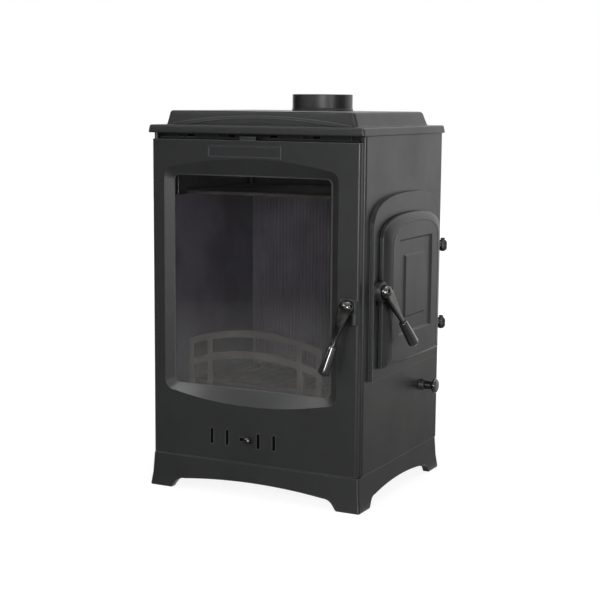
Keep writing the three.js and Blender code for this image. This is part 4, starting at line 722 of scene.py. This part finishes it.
def right_side_casting():
    """Wall with the raised, crowned surround of the loading door, its hinge halves and the rod's boss."""
    piece = block("right_side", INSIDE, SIDE, FRONT, BACK, BASE_TOP + GAP, PLATE_LOW - GAP)
    pick_edges(piece, lambda a, b: abs(a.z - b.z) > 20 and a.x > SIDE - 1 and a.y < FRONT + 3)
    soften(5, 6)
    hinges = [half for z in SIDE_HINGE_Z for half in lower_hinge_half(z)]
    join(piece, raised_surround(), rod_boss(), block("ledge", 212, 223, -170, 165, 173.7, 183.7), *hinges)
    y, z = SIDE_LATCH_AT
    inner, outer = INSIDE - 2, SURROUND_FACE + 2
    cut(
        piece,
        drawn_solid("opening", "x", inner, outer, crowned(*SIDE_OPENING), 20),
        block("latch_slot", inner, outer, y - 9.2, y + 9.2, z - 28, z + 9.2),
        bar("rod_hole", ROD_HOLE, at(inner, *ROD_AT), at(outer, *ROD_AT)),
        *[upright("swing_room", 9.6, SIDE_HINGE, z - KNUCKLE_GAP, z + 13.1, 40) for z in SIDE_HINGE_Z],
        *[upright("pin_hole", SIDE_PIN_HOLE, SIDE_HINGE, z - 15, z + 2, 24) for z in SIDE_HINGE_Z],
        *[upright("tie", BOLT_HOLE, place, 170, 190, 16) for place in TIE_AT if place[0] > 0],
    )
    return dress(round_edges(piece, 1.3), "right_side_panel")


# ---- Top plate and collar ----
HOOD_HALF, HOOD_FRONT, HOOD_BACK = 211, -190, 170
HOOD_SIDE_LEAN = 9.2              # how far each side draws in for a share of 1
HOOD_DEPTH_LEAN = 15.3            # and how far the front and the back do together,
HOOD_STILL = -131.2               # towards this depth
# Share of the lean, and rise, at each step from the hollow curve at the foot to the rounded shoulder.
HOOD_STEPS = [
    (0.12, 0.4), (0.25, 1.7), (0.36, 4.6), (0.55, 10.5), (0.78, 18), (0.95, 23.6), (1.08, 25.8), (1.22, 27.1),
    (1.4, 27.8), (1.6, 28),
]
CAVITY_HALF, CAVITY_FRONT, CAVITY_BACK = 193, -176, 162.3


def hood_step(before, share, rise):
    """Draws the hood's ring on to its next lean and rise; its back leans in the most and its front the least."""
    was_share, was_rise = before
    depth = HOOD_BACK - HOOD_FRONT
    push(z=rise - was_rise)
    wide = (HOOD_HALF - HOOD_SIDE_LEAN * share) / (HOOD_HALF - HOOD_SIDE_LEAN * was_share)
    deep = (depth - HOOD_DEPTH_LEAN * share) / (depth - HOOD_DEPTH_LEAN * was_share)
    draw_in((wide, deep, 1), at(0, HOOD_STILL, 0))
    return share, rise


def slab():
    """The top plate's slab with a bull nose all round."""
    piece = block("slab", -SKIRT, SKIRT, SKIRT_FRONT, SKIRT_BACK, PLATE_LOW, PLATE_HIGH)
    pick_faces(piece, "z")
    draw_in(((SKIRT - 3.4) / SKIRT, (SKIRT_DEEP - 0.6) / SKIRT_DEEP, 1), at(0, SKIRT_MIDDLE, 0))
    finish_edit()
    pick_edges(piece, lambda a, b: abs(a.z - b.z) > 10)
    soften(5, 6)
    pick_edges(piece, lambda a, b: abs(a.z - b.z) < 0.1 and a.z > PLATE_HIGH - 1)
    soften(3.6, 4)
    pick_edges(piece, lambda a, b: abs(a.z - b.z) < 0.1 and a.z < PLATE_LOW + 1)
    soften(3, 4)
    return piece


def hood():
    """The hood as a solid, raised from its foot step by step."""
    piece = block("hood", -HOOD_HALF, HOOD_HALF, HOOD_FRONT, HOOD_BACK, PLATE_HIGH - 2, PLATE_HIGH)
    pick_edges(piece, lambda a, b: abs(a.z - b.z) > 1)
    soften(7, 5)
    pick_faces(piece, "z")
    reached = (0, 0)
    for share, rise in HOOD_STEPS:
        reached = hood_step(reached, share, rise)
    finish_edit()
    return piece


def hood_cavity():
    """The tapered hollow under the hood, as the solid that is cut out."""
    half, depth = CAVITY_HALF, CAVITY_BACK - CAVITY_FRONT
    piece = block("cavity", -half, half, CAVITY_FRONT, CAVITY_BACK, PLATE_LOW - 2, PLATE_HIGH)
    pick_faces(piece, "z")
    push(z=20)
    draw_in(((half - 9) / half, (depth - 12) / depth, 1), at(0, -3.85, 0))
    finish_edit()
    return piece


def top_plate():
    """Bull-nosed slab with a hollow hood on it, and a low arched brow on the hood's front."""
    piece = slab()
    join(piece, hood(), brow())
    cut(
        piece,
        hood_cavity(),
        upright("flue_bore", FLUE_RADIUS, COLLAR_AT, PLATE_LOW, HOOD_TOP + 2, 96),
        upright("pin", PIN_HOLE, HINGE_AT, PLATE_LOW - 2, PLATE_LOW + 10.3),
        *[upright("bolt", BOLT_HOLE, place, HOOD_TOP - 10, HOOD_TOP + 2, 16) for place in BOLT_AT],
        *[upright("tie", BOLT_HOLE, place, PLATE_LOW - 2, PLATE_LOW + 9.3, 16) for place in TIE_AT],
    )
    return dress(round_edges(piece, 1, 38), "top_plate")


def low_arch(name, front, back, half, foot, crown):
    """A flat arch standing across the stove, between two levels of depth."""
    out, home = bowed_edge((half, foot), (-half, foot), crown - foot)
    knots = [
        (-half, foot - 3),
        (half, foot - 3),
        (half, foot, (half, foot - 1), out),
        (-half, foot, home, (-half, foot - 1)),
    ]
    return drawn_solid(name, "y", front, back, knots, 40)


BROW_FACE, BROW_LEAN = -191.9, 4.6


def brow():
    """The shallow arch that stands proud of the hood's leaning front, with a raised rim along its top."""
    piece = low_arch("brow", 0, 7, 199, 2, 19.4)
    cut(piece, low_arch("sunk_face", -2, 1.6, 178, -1, 15))
    lean = Matrix.Rotation(math.radians(-BROW_LEAN), 4, "X")
    piece.matrix_world = Matrix.Translation(at(0, BROW_FACE, PLATE_HIGH)) @ lean @ Matrix.Translation(-at(0, 0, 0))
    return settle(piece)


def flue_collar():
    """Flue socket with a small fillet at its foot, rounded rims and three bolts up into its wall."""
    bore, wall = FLUE_RADIUS, COLLAR_RADIUS
    low, high = HOOD_TOP + GAP, HOOD_TOP + COLLAR_TALL
    foot = [
        (bore, low), (wall + 1.8, low), (wall + 1.7, low + 1.2), (wall + 1.2, low + 2.6), (wall + 0.4, low + 4),
        (wall, low + 6),
    ]
    rim = [
        (wall, high - 2), (wall - 0.2, high - 0.9), (wall - 0.9, high - 0.2), (wall - 1.8, high),
        (bore + 2, high), (bore + 1, high - 0.2), (bore + 0.3, high - 0.8), (bore, high - 1.8), (bore, low),
    ]
    piece = turned("collar", foot + rim, at(*COLLAR_AT, 0), (0, 0, 1), 96)
    cut(piece, *[upright("bolt", BOLT_HOLE, place, low - 2, HOOD_TOP + 12.3, 16) for place in BOLT_AT])
    smooth(piece, 40)
    return dress(piece, "flue_collar")


# ---- Front door ----
# Depth, growth of the window's outline, bow and corner radius, from the door's face in to the glass.
REVEAL_STEPS = [(DOOR_FACE - 1, 19, 20, 25), (-201.6, 1.6, 1.2, 13), (-200, 0.8, 0.6, 12), (-198, 0.6, 0, 12)]


def reveal_cutter():
    """The sloped opening in front of the glass: steps drawn from the face inwards and bridged."""
    rings = [drawn("ring", "y", depth, window(grow, bow, r), 20) for depth, grow, bow, r in REVEAL_STEPS]
    piece = rings[0]
    take(piece)
    for ring in rings[1:]:
        ring.select_set(True)
    bpy.ops.object.join()
    edit_all(piece)
    bpy.ops.mesh.delete(type="ONLY_FACE")
    bpy.ops.mesh.select_mode(type="EDGE")
    bpy.ops.mesh.select_all(action="SELECT")
    bpy.ops.mesh.bridge_edge_loops()
    finish_edit()
    edit(piece, "EDGE")
    bpy.ops.mesh.select_all(action="DESELECT")
    bpy.ops.mesh.select_non_manifold()
    bpy.ops.mesh.edge_face_add()
    finish_edit()
    turn_out(piece)
    return piece


def across_door(name, outline, y0, y1):
    """A box within an outline seen from the front, x from and to and z from and to, between two depths."""
    x0, x1, z0, z1 = outline
    return block(name, x0, x1, y0, y1, z0, z1)


def frame_ring(name, outline, y0, y1, width):
    """A rectangular ring, as of a groove or a cast frame."""
    x0, x1, z0, z1 = outline
    hole = (x0 + width, x1 - width, z0 + width, z1 - width)
    return cut(across_door(name, outline, y0, y1), across_door("hole", hole, y0 - 2, y1 + 2))


ROPE_GROOVE = (-214.8, 192.3, 73.3, 696.3)
GLASS_REBATE = (-192.3, 168.3, 212.7, 642.3)
SLIDE_ROOM = (-131.6, 69.1, 93.4, 140.6)
PLAQUE = (-101, 60, 672, 696)
AIR_HOLE_HALF, AIR_HOLE_TALL = 3.5, 16
KNOB_SLOT = (-29.5, -4, AIR_Z - 4, AIR_Z + 4)


def latch_boss():
    """Flat pad under the front lever, and the rounded column beside it."""
    x, z = LATCH_AT
    pad = block("pad", x - 14, x + 16, LATCH_FACE, DOOR_FACE + 1, z - 14, z + 14)
    pick_edges(pad, lambda a, b: abs(a.y - b.y) > 5)
    soften(3.5, 12)
    column = upright("column", 8, (217, DOOR_FACE + 1), 363.6, 413, 48)
    pick_edges(column, lambda a, b: abs(a.z - b.z) < 0.1)
    soften(3, 4)
    return pad, column


def through_slot(name, outline, back, radius):
    """A slot with round ends in from the door's face, as the solid that is cut out."""
    slot = across_door(name, outline, DOOR_FACE - 2, back)
    pick_edges(slot, lambda a, b: abs(a.y - b.y) > 5)
    soften(radius, 5)
    return slot


def front_door():
    """Leaf with a rounded hinge edge, bowed and sloped window reveal, air holes, latch boss and bare plaque."""
    piece = block("leaf", -SIDE, 226, DOOR_FACE, DOOR_BACK, DOOR_LOW, DOOR_HIGH)
    pick_edges(piece, lambda a, b: abs(a.z - b.z) > 20 and a.x < 0)
    soften(7.2, 14)
    pick_edges(piece, lambda a, b: abs(a.z - b.z) > 20 and a.x > 220 and a.y < -205)
    soften(5, 14)
    join(piece, *latch_boss())
    holes = [
        (x - AIR_HOLE_HALF, x + AIR_HOLE_HALF, AIR_Z - AIR_HOLE_TALL, AIR_Z + AIR_HOLE_TALL) for x in AIR_HOLE_X
    ]
    x, z = LATCH_AT
    behind = DOOR_BACK + 2
    cut(
        piece,
        reveal_cutter(),
        across_door("rebate", GLASS_REBATE, -200, behind),
        frame_ring("rope_groove", ROPE_GROOVE, DOOR_BACK - 6.5, behind, 8.6),
        across_door("slide_room", SLIDE_ROOM, DOOR_BACK - 3.6, behind),
        through_slot("knob_slot", KNOB_SLOT, DOOR_BACK, 3.9),
        bar("spindle_hole", SPINDLE_HOLE, at(x, -222, z), at(x, -190, z)),
        upright("pin_low", PIN_HOLE, HINGE_AT, DOOR_LOW - 2, DOOR_LOW + 20.3),
        upright("pin_high", PIN_HOLE, HINGE_AT, DOOR_HIGH - 20.3, DOOR_HIGH + 2),
        *[through_slot("air_hole", hole, behind, AIR_HOLE_HALF - 0.05) for hole in holes],
    )
    round_edges(piece, 1.1, segments=4, crisp=9)
    rim = frame_ring("plaque", PLAQUE, DOOR_FACE - 1.6, DOOR_FACE + 1, 3)
    join(piece, round_edges(rim, 0.7))
    modifier(piece, "WEIGHTED_NORMAL", keep_sharp=True, weight=60)
    return dress(piece, "front_door")


def glass_pane():
    """Flat pane with ground edges, behind the window's rebate."""
    low, high = (stove_mm(corner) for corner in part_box("front_door_glass"))
    piece = block("pane", low.x, high.x, low.y, high.y, low.z, high.z)
    pick_edges(piece, lambda a, b: abs(a.y - b.y) > 1)
    soften(4, 5)
    modifier(piece, "BEVEL", width=0.4 * MM, segments=2, limit_method="ANGLE", angle_limit=math.radians(60))
    return dress(piece, "front_door_glass")


# ---- Side door ----
LEAF = (146, 273, 520, 567)
LEAF_BACK, LEAF_MIDDLE = 240.2, 399
# Inset and level of each step of the leaf's domed face, the last ones a fine line round its field.
LEAF_STEPS = [
    (0, 246.4), (0.5, 247.4), (1.6, 248.2), (12.6, 253.4), (24, 255.3), (27.6, 255.7), (28.6, 254.9), (29.6, 254.9),
    (30.6, 255.7),
]
SEAL_GROOVE = (139.3, 279.7, 516.65, 560.3)
SEAL_GROOVE_INSIDE = (130.7, 288.3, 512.35, 551.7)
PANEL_HALF, PANEL_LOW, PANEL_HIGH = 90, 325, 523
SHIELD_SCREW_Z = (354, 486)


def side_panel_cutter():
    """The sunk, bevelled panel with its raised field, as the solid that is cut out of the leaf."""
    tall = (PANEL_HIGH - PANEL_LOW) / 2
    piece = block("panel_cutter", 252.2, 260, -PANEL_HALF, PANEL_HALF, PANEL_LOW, PANEL_HIGH)
    pick_faces(piece, "x", -1)
    draw_in((1, (PANEL_HALF - 9) / PANEL_HALF, (tall - 9) / tall), at(252.2, 0, PANEL_LOW + tall))
    bpy.ops.mesh.inset(thickness=27 * MM, depth=0)
    bpy.ops.mesh.inset(thickness=4 * MM, depth=-3 * MM)
    finish_edit()
    return piece


def domed_leaf():
    """The side door's leaf, raised from its flat back step by step."""
    half, foot, _, crown = LEAF
    tall = crown - foot
    piece = drawn("side_leaf", "x", LEAF_BACK, crowned(*LEAF), 24)
    edit_all(piece)
    was_inset, was_level = 0, LEAF_BACK
    for inset, level in LEAF_STEPS:
        push(x=level - was_level)
        wide = (half - inset) / (half - was_inset)
        high = (tall - 1.05 * inset) / (tall - 1.05 * was_inset)
        draw_in((1, wide, high), at(level, 0, LEAF_MIDDLE))
        was_inset, was_level = inset, level
    finish_edit()
    turn_out(piece)
    return piece


def upper_hinge_half(z):
    """A knuckle over the meeting plane of a side hinge, and the arm that holds it to the leaf."""
    foot, top = z + KNUCKLE_GAP, z + KNUCKLE_LONG
    knuckle = upright("knuckle", KNUCKLE, SIDE_HINGE, foot, top, 40)
    pick_edges(knuckle, lambda a, b: abs(a.z - b.z) < 0.1 and a.z > top - 0.5)
    soften(8, 8)
    return knuckle, block("arm", LEAF_BACK, 247.5, 143, 172, foot, z + 9)


def seal_groove():
    """The crowned ring that is cut from the leaf's back for its rope seal."""
    piece = drawn_solid("groove", "x", LEAF_BACK - 2.2, LEAF_BACK + 4, crowned(*SEAL_GROOVE), 20)
    return cut(piece, drawn_solid("inside", "x", 237, 246, crowned(*SEAL_GROOVE_INSIDE), 20))


def side_door():
    """Crowned, softly domed leaf with a sunk and fielded panel, a latch lug and the upper hinge halves."""
    piece = domed_leaf()
    y, z = SIDE_LATCH_AT
    lug = bar("lug", 20, at(LEAF_BACK, y, z), at(SIDE_LATCH_FACE, y, z), 56)
    pick_edges(lug, lambda a, b: min(a.x, b.x) > SIDE_LATCH_FACE - 0.2)
    soften(2.5, 4)
    join(piece, lug, *[half for hinge_z in SIDE_HINGE_Z for half in upper_hinge_half(hinge_z)])
    cut(
        piece,
        side_panel_cutter(),
        seal_groove(),
        bar("spindle_hole", SPINDLE_HOLE, at(238, y, z), at(258, y, z)),
        *[upright("pin_hole", SIDE_PIN_HOLE, SIDE_HINGE, hinge_z - 2, hinge_z + 15, 24) for hinge_z in SIDE_HINGE_Z],
        *[bar("screw_hole", BOLT_HOLE, at(238, 0, screw_z), at(246.5, 0, screw_z), 16) for screw_z in SHIELD_SCREW_Z],
    )
    return dress(round_edges(piece, 0.9, 30), "side_door")


# ---- Latch handles ----
# Distance from the hub, width, thickness and lift of the arm at each of its steps, down to where the grip seats.
ARM_STEPS = [
    (2, 26, 13, 7.2), (12, 25, 13.4, 8), (26, 20.5, 12.6, 10.6), (42, 15.5, 10.6, 14), (58, 11.6, 8.8, 17.4),
    (67, 10, 8.4, 19.4), (74, 9.6, 8.2, 21),
]
ARM_LONG, ARM_LIFT = 74, 21
GRIP_LEAN = math.radians(11)
GRIP_PROFILE = [
    (0, 16.3), (3.3, 16.3), (3.3, 0), (6.6, 0), (7.6, 0.4), (8.3, 1.2), (8.55, 2.4), (8.7, 6), (9.4, 18), (10.1, 34),
    (10.6, 46), (10.8, 51), (10.7, 53.2), (10.1, 55.2), (9, 56.6), (7.2, 57.5), (4.6, 57.9), (0, 57.9),
]
FACINGS = {
    "front": Matrix(((1, 0, 0), (0, 0, -1), (0, 1, 0))).to_4x4(),
    "side": Matrix(((0, 0, 1), (1, 0, 0), (0, 1, 0))).to_4x4(),
}


def from_hub(x, y, z):
    """A place in metres from millimetres about the hub's foot, with the hub facing up."""
    return Vector((x, y, z)) * MM


def mount_handle(piece, foot, outward, hang):
    """Moves a piece drawn about the hub, facing up and hanging towards -Y, to its place on a door."""
    turn = Matrix.Rotation(math.radians(hang), 4, "Z")
    piece.matrix_world = Matrix.Translation(foot) @ FACINGS[outward] @ turn
    return settle(piece)


def lever_arm():
    """Cast arm that lifts away from the hub and narrows to the grip."""
    was, *steps = ARM_STEPS
    along, width, thick, lift = was
    deselect()
    bpy.ops.mesh.primitive_cube_add(
        size=1, location=from_hub(0, 0.5 - along, lift), scale=from_hub(width, 1, thick),
    )
    piece = settle(bpy.context.active_object, "arm")
    pick_faces(piece, "y", -1)
    for step in steps:
        along, width, thick, lift = step
        push(y=was[0] - along, z=lift - was[3])
        draw_in((width / was[1], 1, thick / was[2]), from_hub(0, -along, lift))
        was = step
    finish_edit()
    pick_edges(piece, lambda a, b: abs(a.y - b.y) > 3)
    soften(3.4, 5)
    return piece


def lever():
    """Domed hub with a stepped collar, its arm and the tang that the grip is driven on."""
    hub = turned("hub", [
        (0, 0.3), (13.4, 0.3), (14, 0.9), (14, 5.6), (13.7, 6.8), (12.9, 8.2), (12.3, 9.6), (11, 11.4), (9, 13),
        (6.4, 14.2), (3.2, 14.8), (0, 15),
    ], from_hub(0, 0, 0), (0, 0, 1), 56)
    join(hub, lever_arm())
    tang_end = from_hub(0, -ARM_LONG - 16 * math.cos(GRIP_LEAN), ARM_LIFT + 16 * math.sin(GRIP_LEAN))
    join(hub, bar("tang", 3, from_hub(0, 6 - ARM_LONG, ARM_LIFT - 1), tang_end, 24))
    cut(hub, bar("bore", SPINDLE_HOLE, from_hub(0, 0, -2), from_hub(0, 0, 8), 32))
    return round_edges(hub, 0.7, 40)


def grip():
    """Long turned grip that swells towards a rounded end, on the lever's tang."""
    seat = ARM_LONG + 0.3 + 6.5 * math.sin(GRIP_LEAN)
    direction = (0, -math.cos(GRIP_LEAN), math.sin(GRIP_LEAN))
    piece = turned("grip", GRIP_PROFILE, from_hub(0, -seat, ARM_LIFT), direction, 56)
    smooth(piece, 50)
    return piece


def handles():
    """The front lever hangs to the left of plumb and the side one to the right of it."""
    front_foot = at(LATCH_AT[0], LATCH_FACE, LATCH_AT[1])
    side_foot = at(SIDE_LATCH_FACE, *SIDE_LATCH_AT)
    for side, foot, hang in (("front", front_foot, -15), ("side", side_foot, 35)):
        dress(mount_handle(lever(), foot, side, hang), side + "_handle_arm")
        dress(mount_handle(grip(), foot, side, hang), side + "_handle_grip")


# ---- Knobs ----
def air_knob():
    """Small turned knob with a waist and a rounded rim."""
    piece = turned("air_knob", [
        (0, 2.6), (3.3, 2.6), (3.3, 0), (4.8, 0), (4.9, 1.6), (5, 3), (5.8, 4.6), (7.4, 5.7), (8, 6.6), (8, 8.6),
        (7.6, 9.8), (6.4, 11.4), (4.6, 12.5), (2.4, 12.9), (0, 13),
    ], at(-8, DOOR_FACE - 1.4, AIR_Z), (0, -1, 0), 48)
    smooth(piece, 50)
    return dress(piece, "primary_air_knob")


def riddling_knob():
    """Ball-edged disc knob on a stout neck that hides the rod."""
    piece = turned("riddling_knob", [
        (0, 10), (4.3, 10), (4.3, 0), (8.6, 0), (9.2, 0.8), (9.2, 5), (8.6, 9), (8.2, 14), (8.6, 16.4), (10.4, 17.6),
        (13.2, 18.4), (14.6, 19.6), (15, 21.6), (14.9, 23.6), (14, 25.4), (12, 26.6), (9, 27.2), (4, 27.4), (0, 27.4),
    ], at(SURROUND_FACE + 0.6, *ROD_AT), (1, 0, 0), 56)
    smooth(piece, 50)
    return dress(piece, "riddling_knob")


# ---- Pieces that keep their construction shape, with rounded edges ----
# How wide each one's edges are rounded.
ROUNDED = {
    "left_side_panel": 1.3, "back_panel": 0.9, "front_frame": 0.7, "airwash_slide": 0.5, "log_guard": 1.6,
    "riddling_grate": 1.0, "left_liner": 0.8, "right_liner": 0.8, "rear_liner": 0.7, "baffle_plate": 0.8,
    "grate_bearer_front": 0.8, "grate_bearer_rear": 0.8, "ash_pan": 0.3,
    "primary_air_slide": 0.4, "front_door_gasket": 2.2, "side_door_gasket": 1.4,
}


def dress_construction():
    """Gives every construction node that still shows its own finish."""
    for name, node in frame["nodes"].items():
        node.data.materials.clear()
        node.data.materials.append(FINISHES[body_and_slot(name)[1]])


# ---- The studio ----
def seen_directly(tree):
    """1 where the camera, a reflection or a view through glass meets a surface, otherwise 0."""
    path = add(tree, "ShaderNodeLightPath").outputs
    seen = add(tree, "ShaderNodeMath", {"operation": "MAXIMUM"}, _0=path["Is Camera Ray"], _1=path["Is Glossy Ray"])
    seen = add(tree, "ShaderNodeMath", {"operation": "MAXIMUM"}, _0=seen.outputs[0], _1=path["Is Transmission Ray"])
    return seen.outputs[0]


def set_world(level):
    """A plain white surround that lights the stove at a level and is seen as white."""
    world = bpy.data.worlds.new("studio")
    bpy.context.scene.world = world
    world.use_nodes = True
    tree = world.node_tree
    lit = tree.nodes["Background"]
    lit.inputs["Color"].default_value = rgb(1, 1, 1)
    lit.inputs["Strength"].default_value = level
    plain = add(tree, "ShaderNodeBackground", Color=rgb(1, 1, 1), Strength=1.0)
    mixed = add(tree, "ShaderNodeMixShader", _0=seen_directly(tree), _1=lit.outputs[0], _2=plain.outputs[0])
    tree.links.new(mixed.outputs[0], tree.nodes["World Output"].inputs["Surface"])


def around(azimuth, distance, height):
    """A place in the studio at an azimuth, where 0 is straight in front of the stove and 90 its right side."""
    a = math.radians(azimuth)
    return Vector((distance * math.sin(a), -distance * math.cos(a), height))


def lamp(name, place, aim, width, height, watts, spread=180):
    """A softbox of a width and height, aimed at a place, whose beam a grid may narrow to a spread."""
    data = bpy.data.lights.new(name, "AREA")
    data.shape = "RECTANGLE"
    data.spread = math.radians(spread)
    data.size = width
    data.size_y = height
    data.energy = watts
    light = bpy.data.objects.new(name, data)
    bpy.context.scene.collection.objects.link(light)
    light.location = place
    light.rotation_euler = (Vector(aim) - Vector(place)).to_track_quat("-Z", "Y").to_euler()


def sheet(name, wide, deep, place=(0, 0, 0), turn=(0, 0, 0)):
    """A flat sheet of the studio."""
    deselect()
    bpy.ops.mesh.primitive_plane_add(size=1, location=place, rotation=turn)
    made = bpy.context.active_object
    made.scale = (wide, deep, 1)
    return settle(made, name)


def how_far_out(tree):
    """The distance from the middle of the floor."""
    return add(tree, "ShaderNodeVectorMath", {"operation": "LENGTH"}, _0=on_object(tree)).outputs["Value"]


def studio_floor():
    """Pale floor that keeps a soft shadow, glows a little less near the stove as painted shade, and runs white into
    the background.
    """
    ground = sheet("studio_floor", 14, 14)
    material, tree, shader = new_finish("studio_floor")
    shader.inputs["Base Color"].default_value = rgb(0.3, 0.3, 0.3)
    shader.inputs["Roughness"].default_value = 0.9
    shader.inputs["Specular IOR Level"].default_value = 0.0
    # Painted shade: the floor glows less near the stove.
    strength = ramp(tree, how_far_out(tree), 0.3, 1.6, 0.86, 1.0)
    glow = add(tree, "ShaderNodeEmission", Color=rgb(1, 1, 1), Strength=strength)
    both = add(tree, "ShaderNodeAddShader", _0=shader.outputs[0], _1=glow.outputs[0])
    mixed = add(tree, "ShaderNodeMixShader", _0=seen_directly(tree), _1=shader.outputs[0], _2=both.outputs[0])
    tree.links.new(mixed.outputs[0], tree.nodes["Material Output"].inputs["Surface"])
    ground.data.materials.append(material)


def dark_flag(name, azimuth, distance, width, low, high):
    """A matt dark board that the camera doesn't see, for the glossy faces to reflect."""
    place = around(azimuth, distance, (low + high) / 2)
    turn = (Vector((0, 0, place.z)) - place).to_track_quat("Z", "Y").to_euler()
    board = sheet(name, width, high - low, place, turn)
    board.visible_camera = False
    board.visible_shadow = False
    material, _, shader = new_finish(name)
    shader.inputs["Base Color"].default_value = rgb(0.03, 0.03, 0.032)
    shader.inputs["Roughness"].default_value = 0.9
    board.data.materials.append(material)


def reflected_floor_glow(name, place, wide, deep, near, far, low, high):
    """A glowing sheet on the floor that only reflections meet, a painted reflection from one tone near the stove to
    another farther out.
    """
    card = sheet(name, wide, deep, place)
    card.visible_camera = False
    card.visible_shadow = False
    card.visible_diffuse = False
    material, tree, shader = new_finish(name)
    shader.inputs["Base Color"].default_value = rgb(0, 0, 0)
    shader.inputs["Specular IOR Level"].default_value = 0.0
    shader.inputs["Emission Color"].default_value = rgb(1, 1, 0.97)
    tree.links.new(ramp(tree, how_far_out(tree), near, far, low, high), shader.inputs["Emission Strength"])
    card.data.materials.append(material)


def studio_lamps():
    """Softboxes round the front and the right of the stove and above it, the widest for the window's sill."""
    middle = Vector((0, 0, 0.4))
    sill = Vector((0, -0.2, 0.1))
    lamp("right_softbox", around(60, 3.9, 1.5), middle, 0.8, 1.4, 25)
    lamp("camera_softbox", around(26, 3.9, 0.85), middle, 1.3, 0.9, 84)
    lamp("sill_softbox", around(-25, 3.3, 1.58), sill, 2.3, 0.6, 1.6, 27)
    lamp("low_strip", around(-8, 3.7, 0.4), middle, 0.3, 0.7, 9)
    lamp("top_softbox", Vector((0.4, 0.2, 3.2)), middle, 1.6, 1.6, 22)


# ---- Assembly ----
set_camera()
dress_construction()
base_casting()
right_side_casting()
top_plate()
flue_collar()
front_door()
glass_pane()
side_door()
handles()
air_knob()
riddling_knob()
for node_name, edge in ROUNDED.items():
    rounded_copy(node_name, edge)
set_world(0.35)
studio_lamps()
dark_flag("front_flag", -28, 2.9, 3.4, 0.002, 1.2)
dark_flag("high_flag", -26, 3.6, 4.2, 2.15, 3.9)
dark_flag("camera_flag", 38, 4.3, 4.6, 0.002, 3.6)
dark_flag("right_flag", 98, 4.3, 4.6, 0.002, 3.4)
dark_flag("left_flag", -92, 4.0, 4.4, 0.002, 3.2)
# Painted reflections of the floor: glowing sheets that only reflections see.
reflected_floor_glow("front_card", (-1.2, -2.245, 0.001), 5.4, 4.1, 1.2, 3.1, 0.14, 0.06)
reflected_floor_glow("side_card", (2.265, 1.7, 0.001), 4.1, 4.0, 0.2, 1.9, 0.29, 0.55)
studio_floor()

bpy.context.scene.view_settings.view_transform = "Standard"
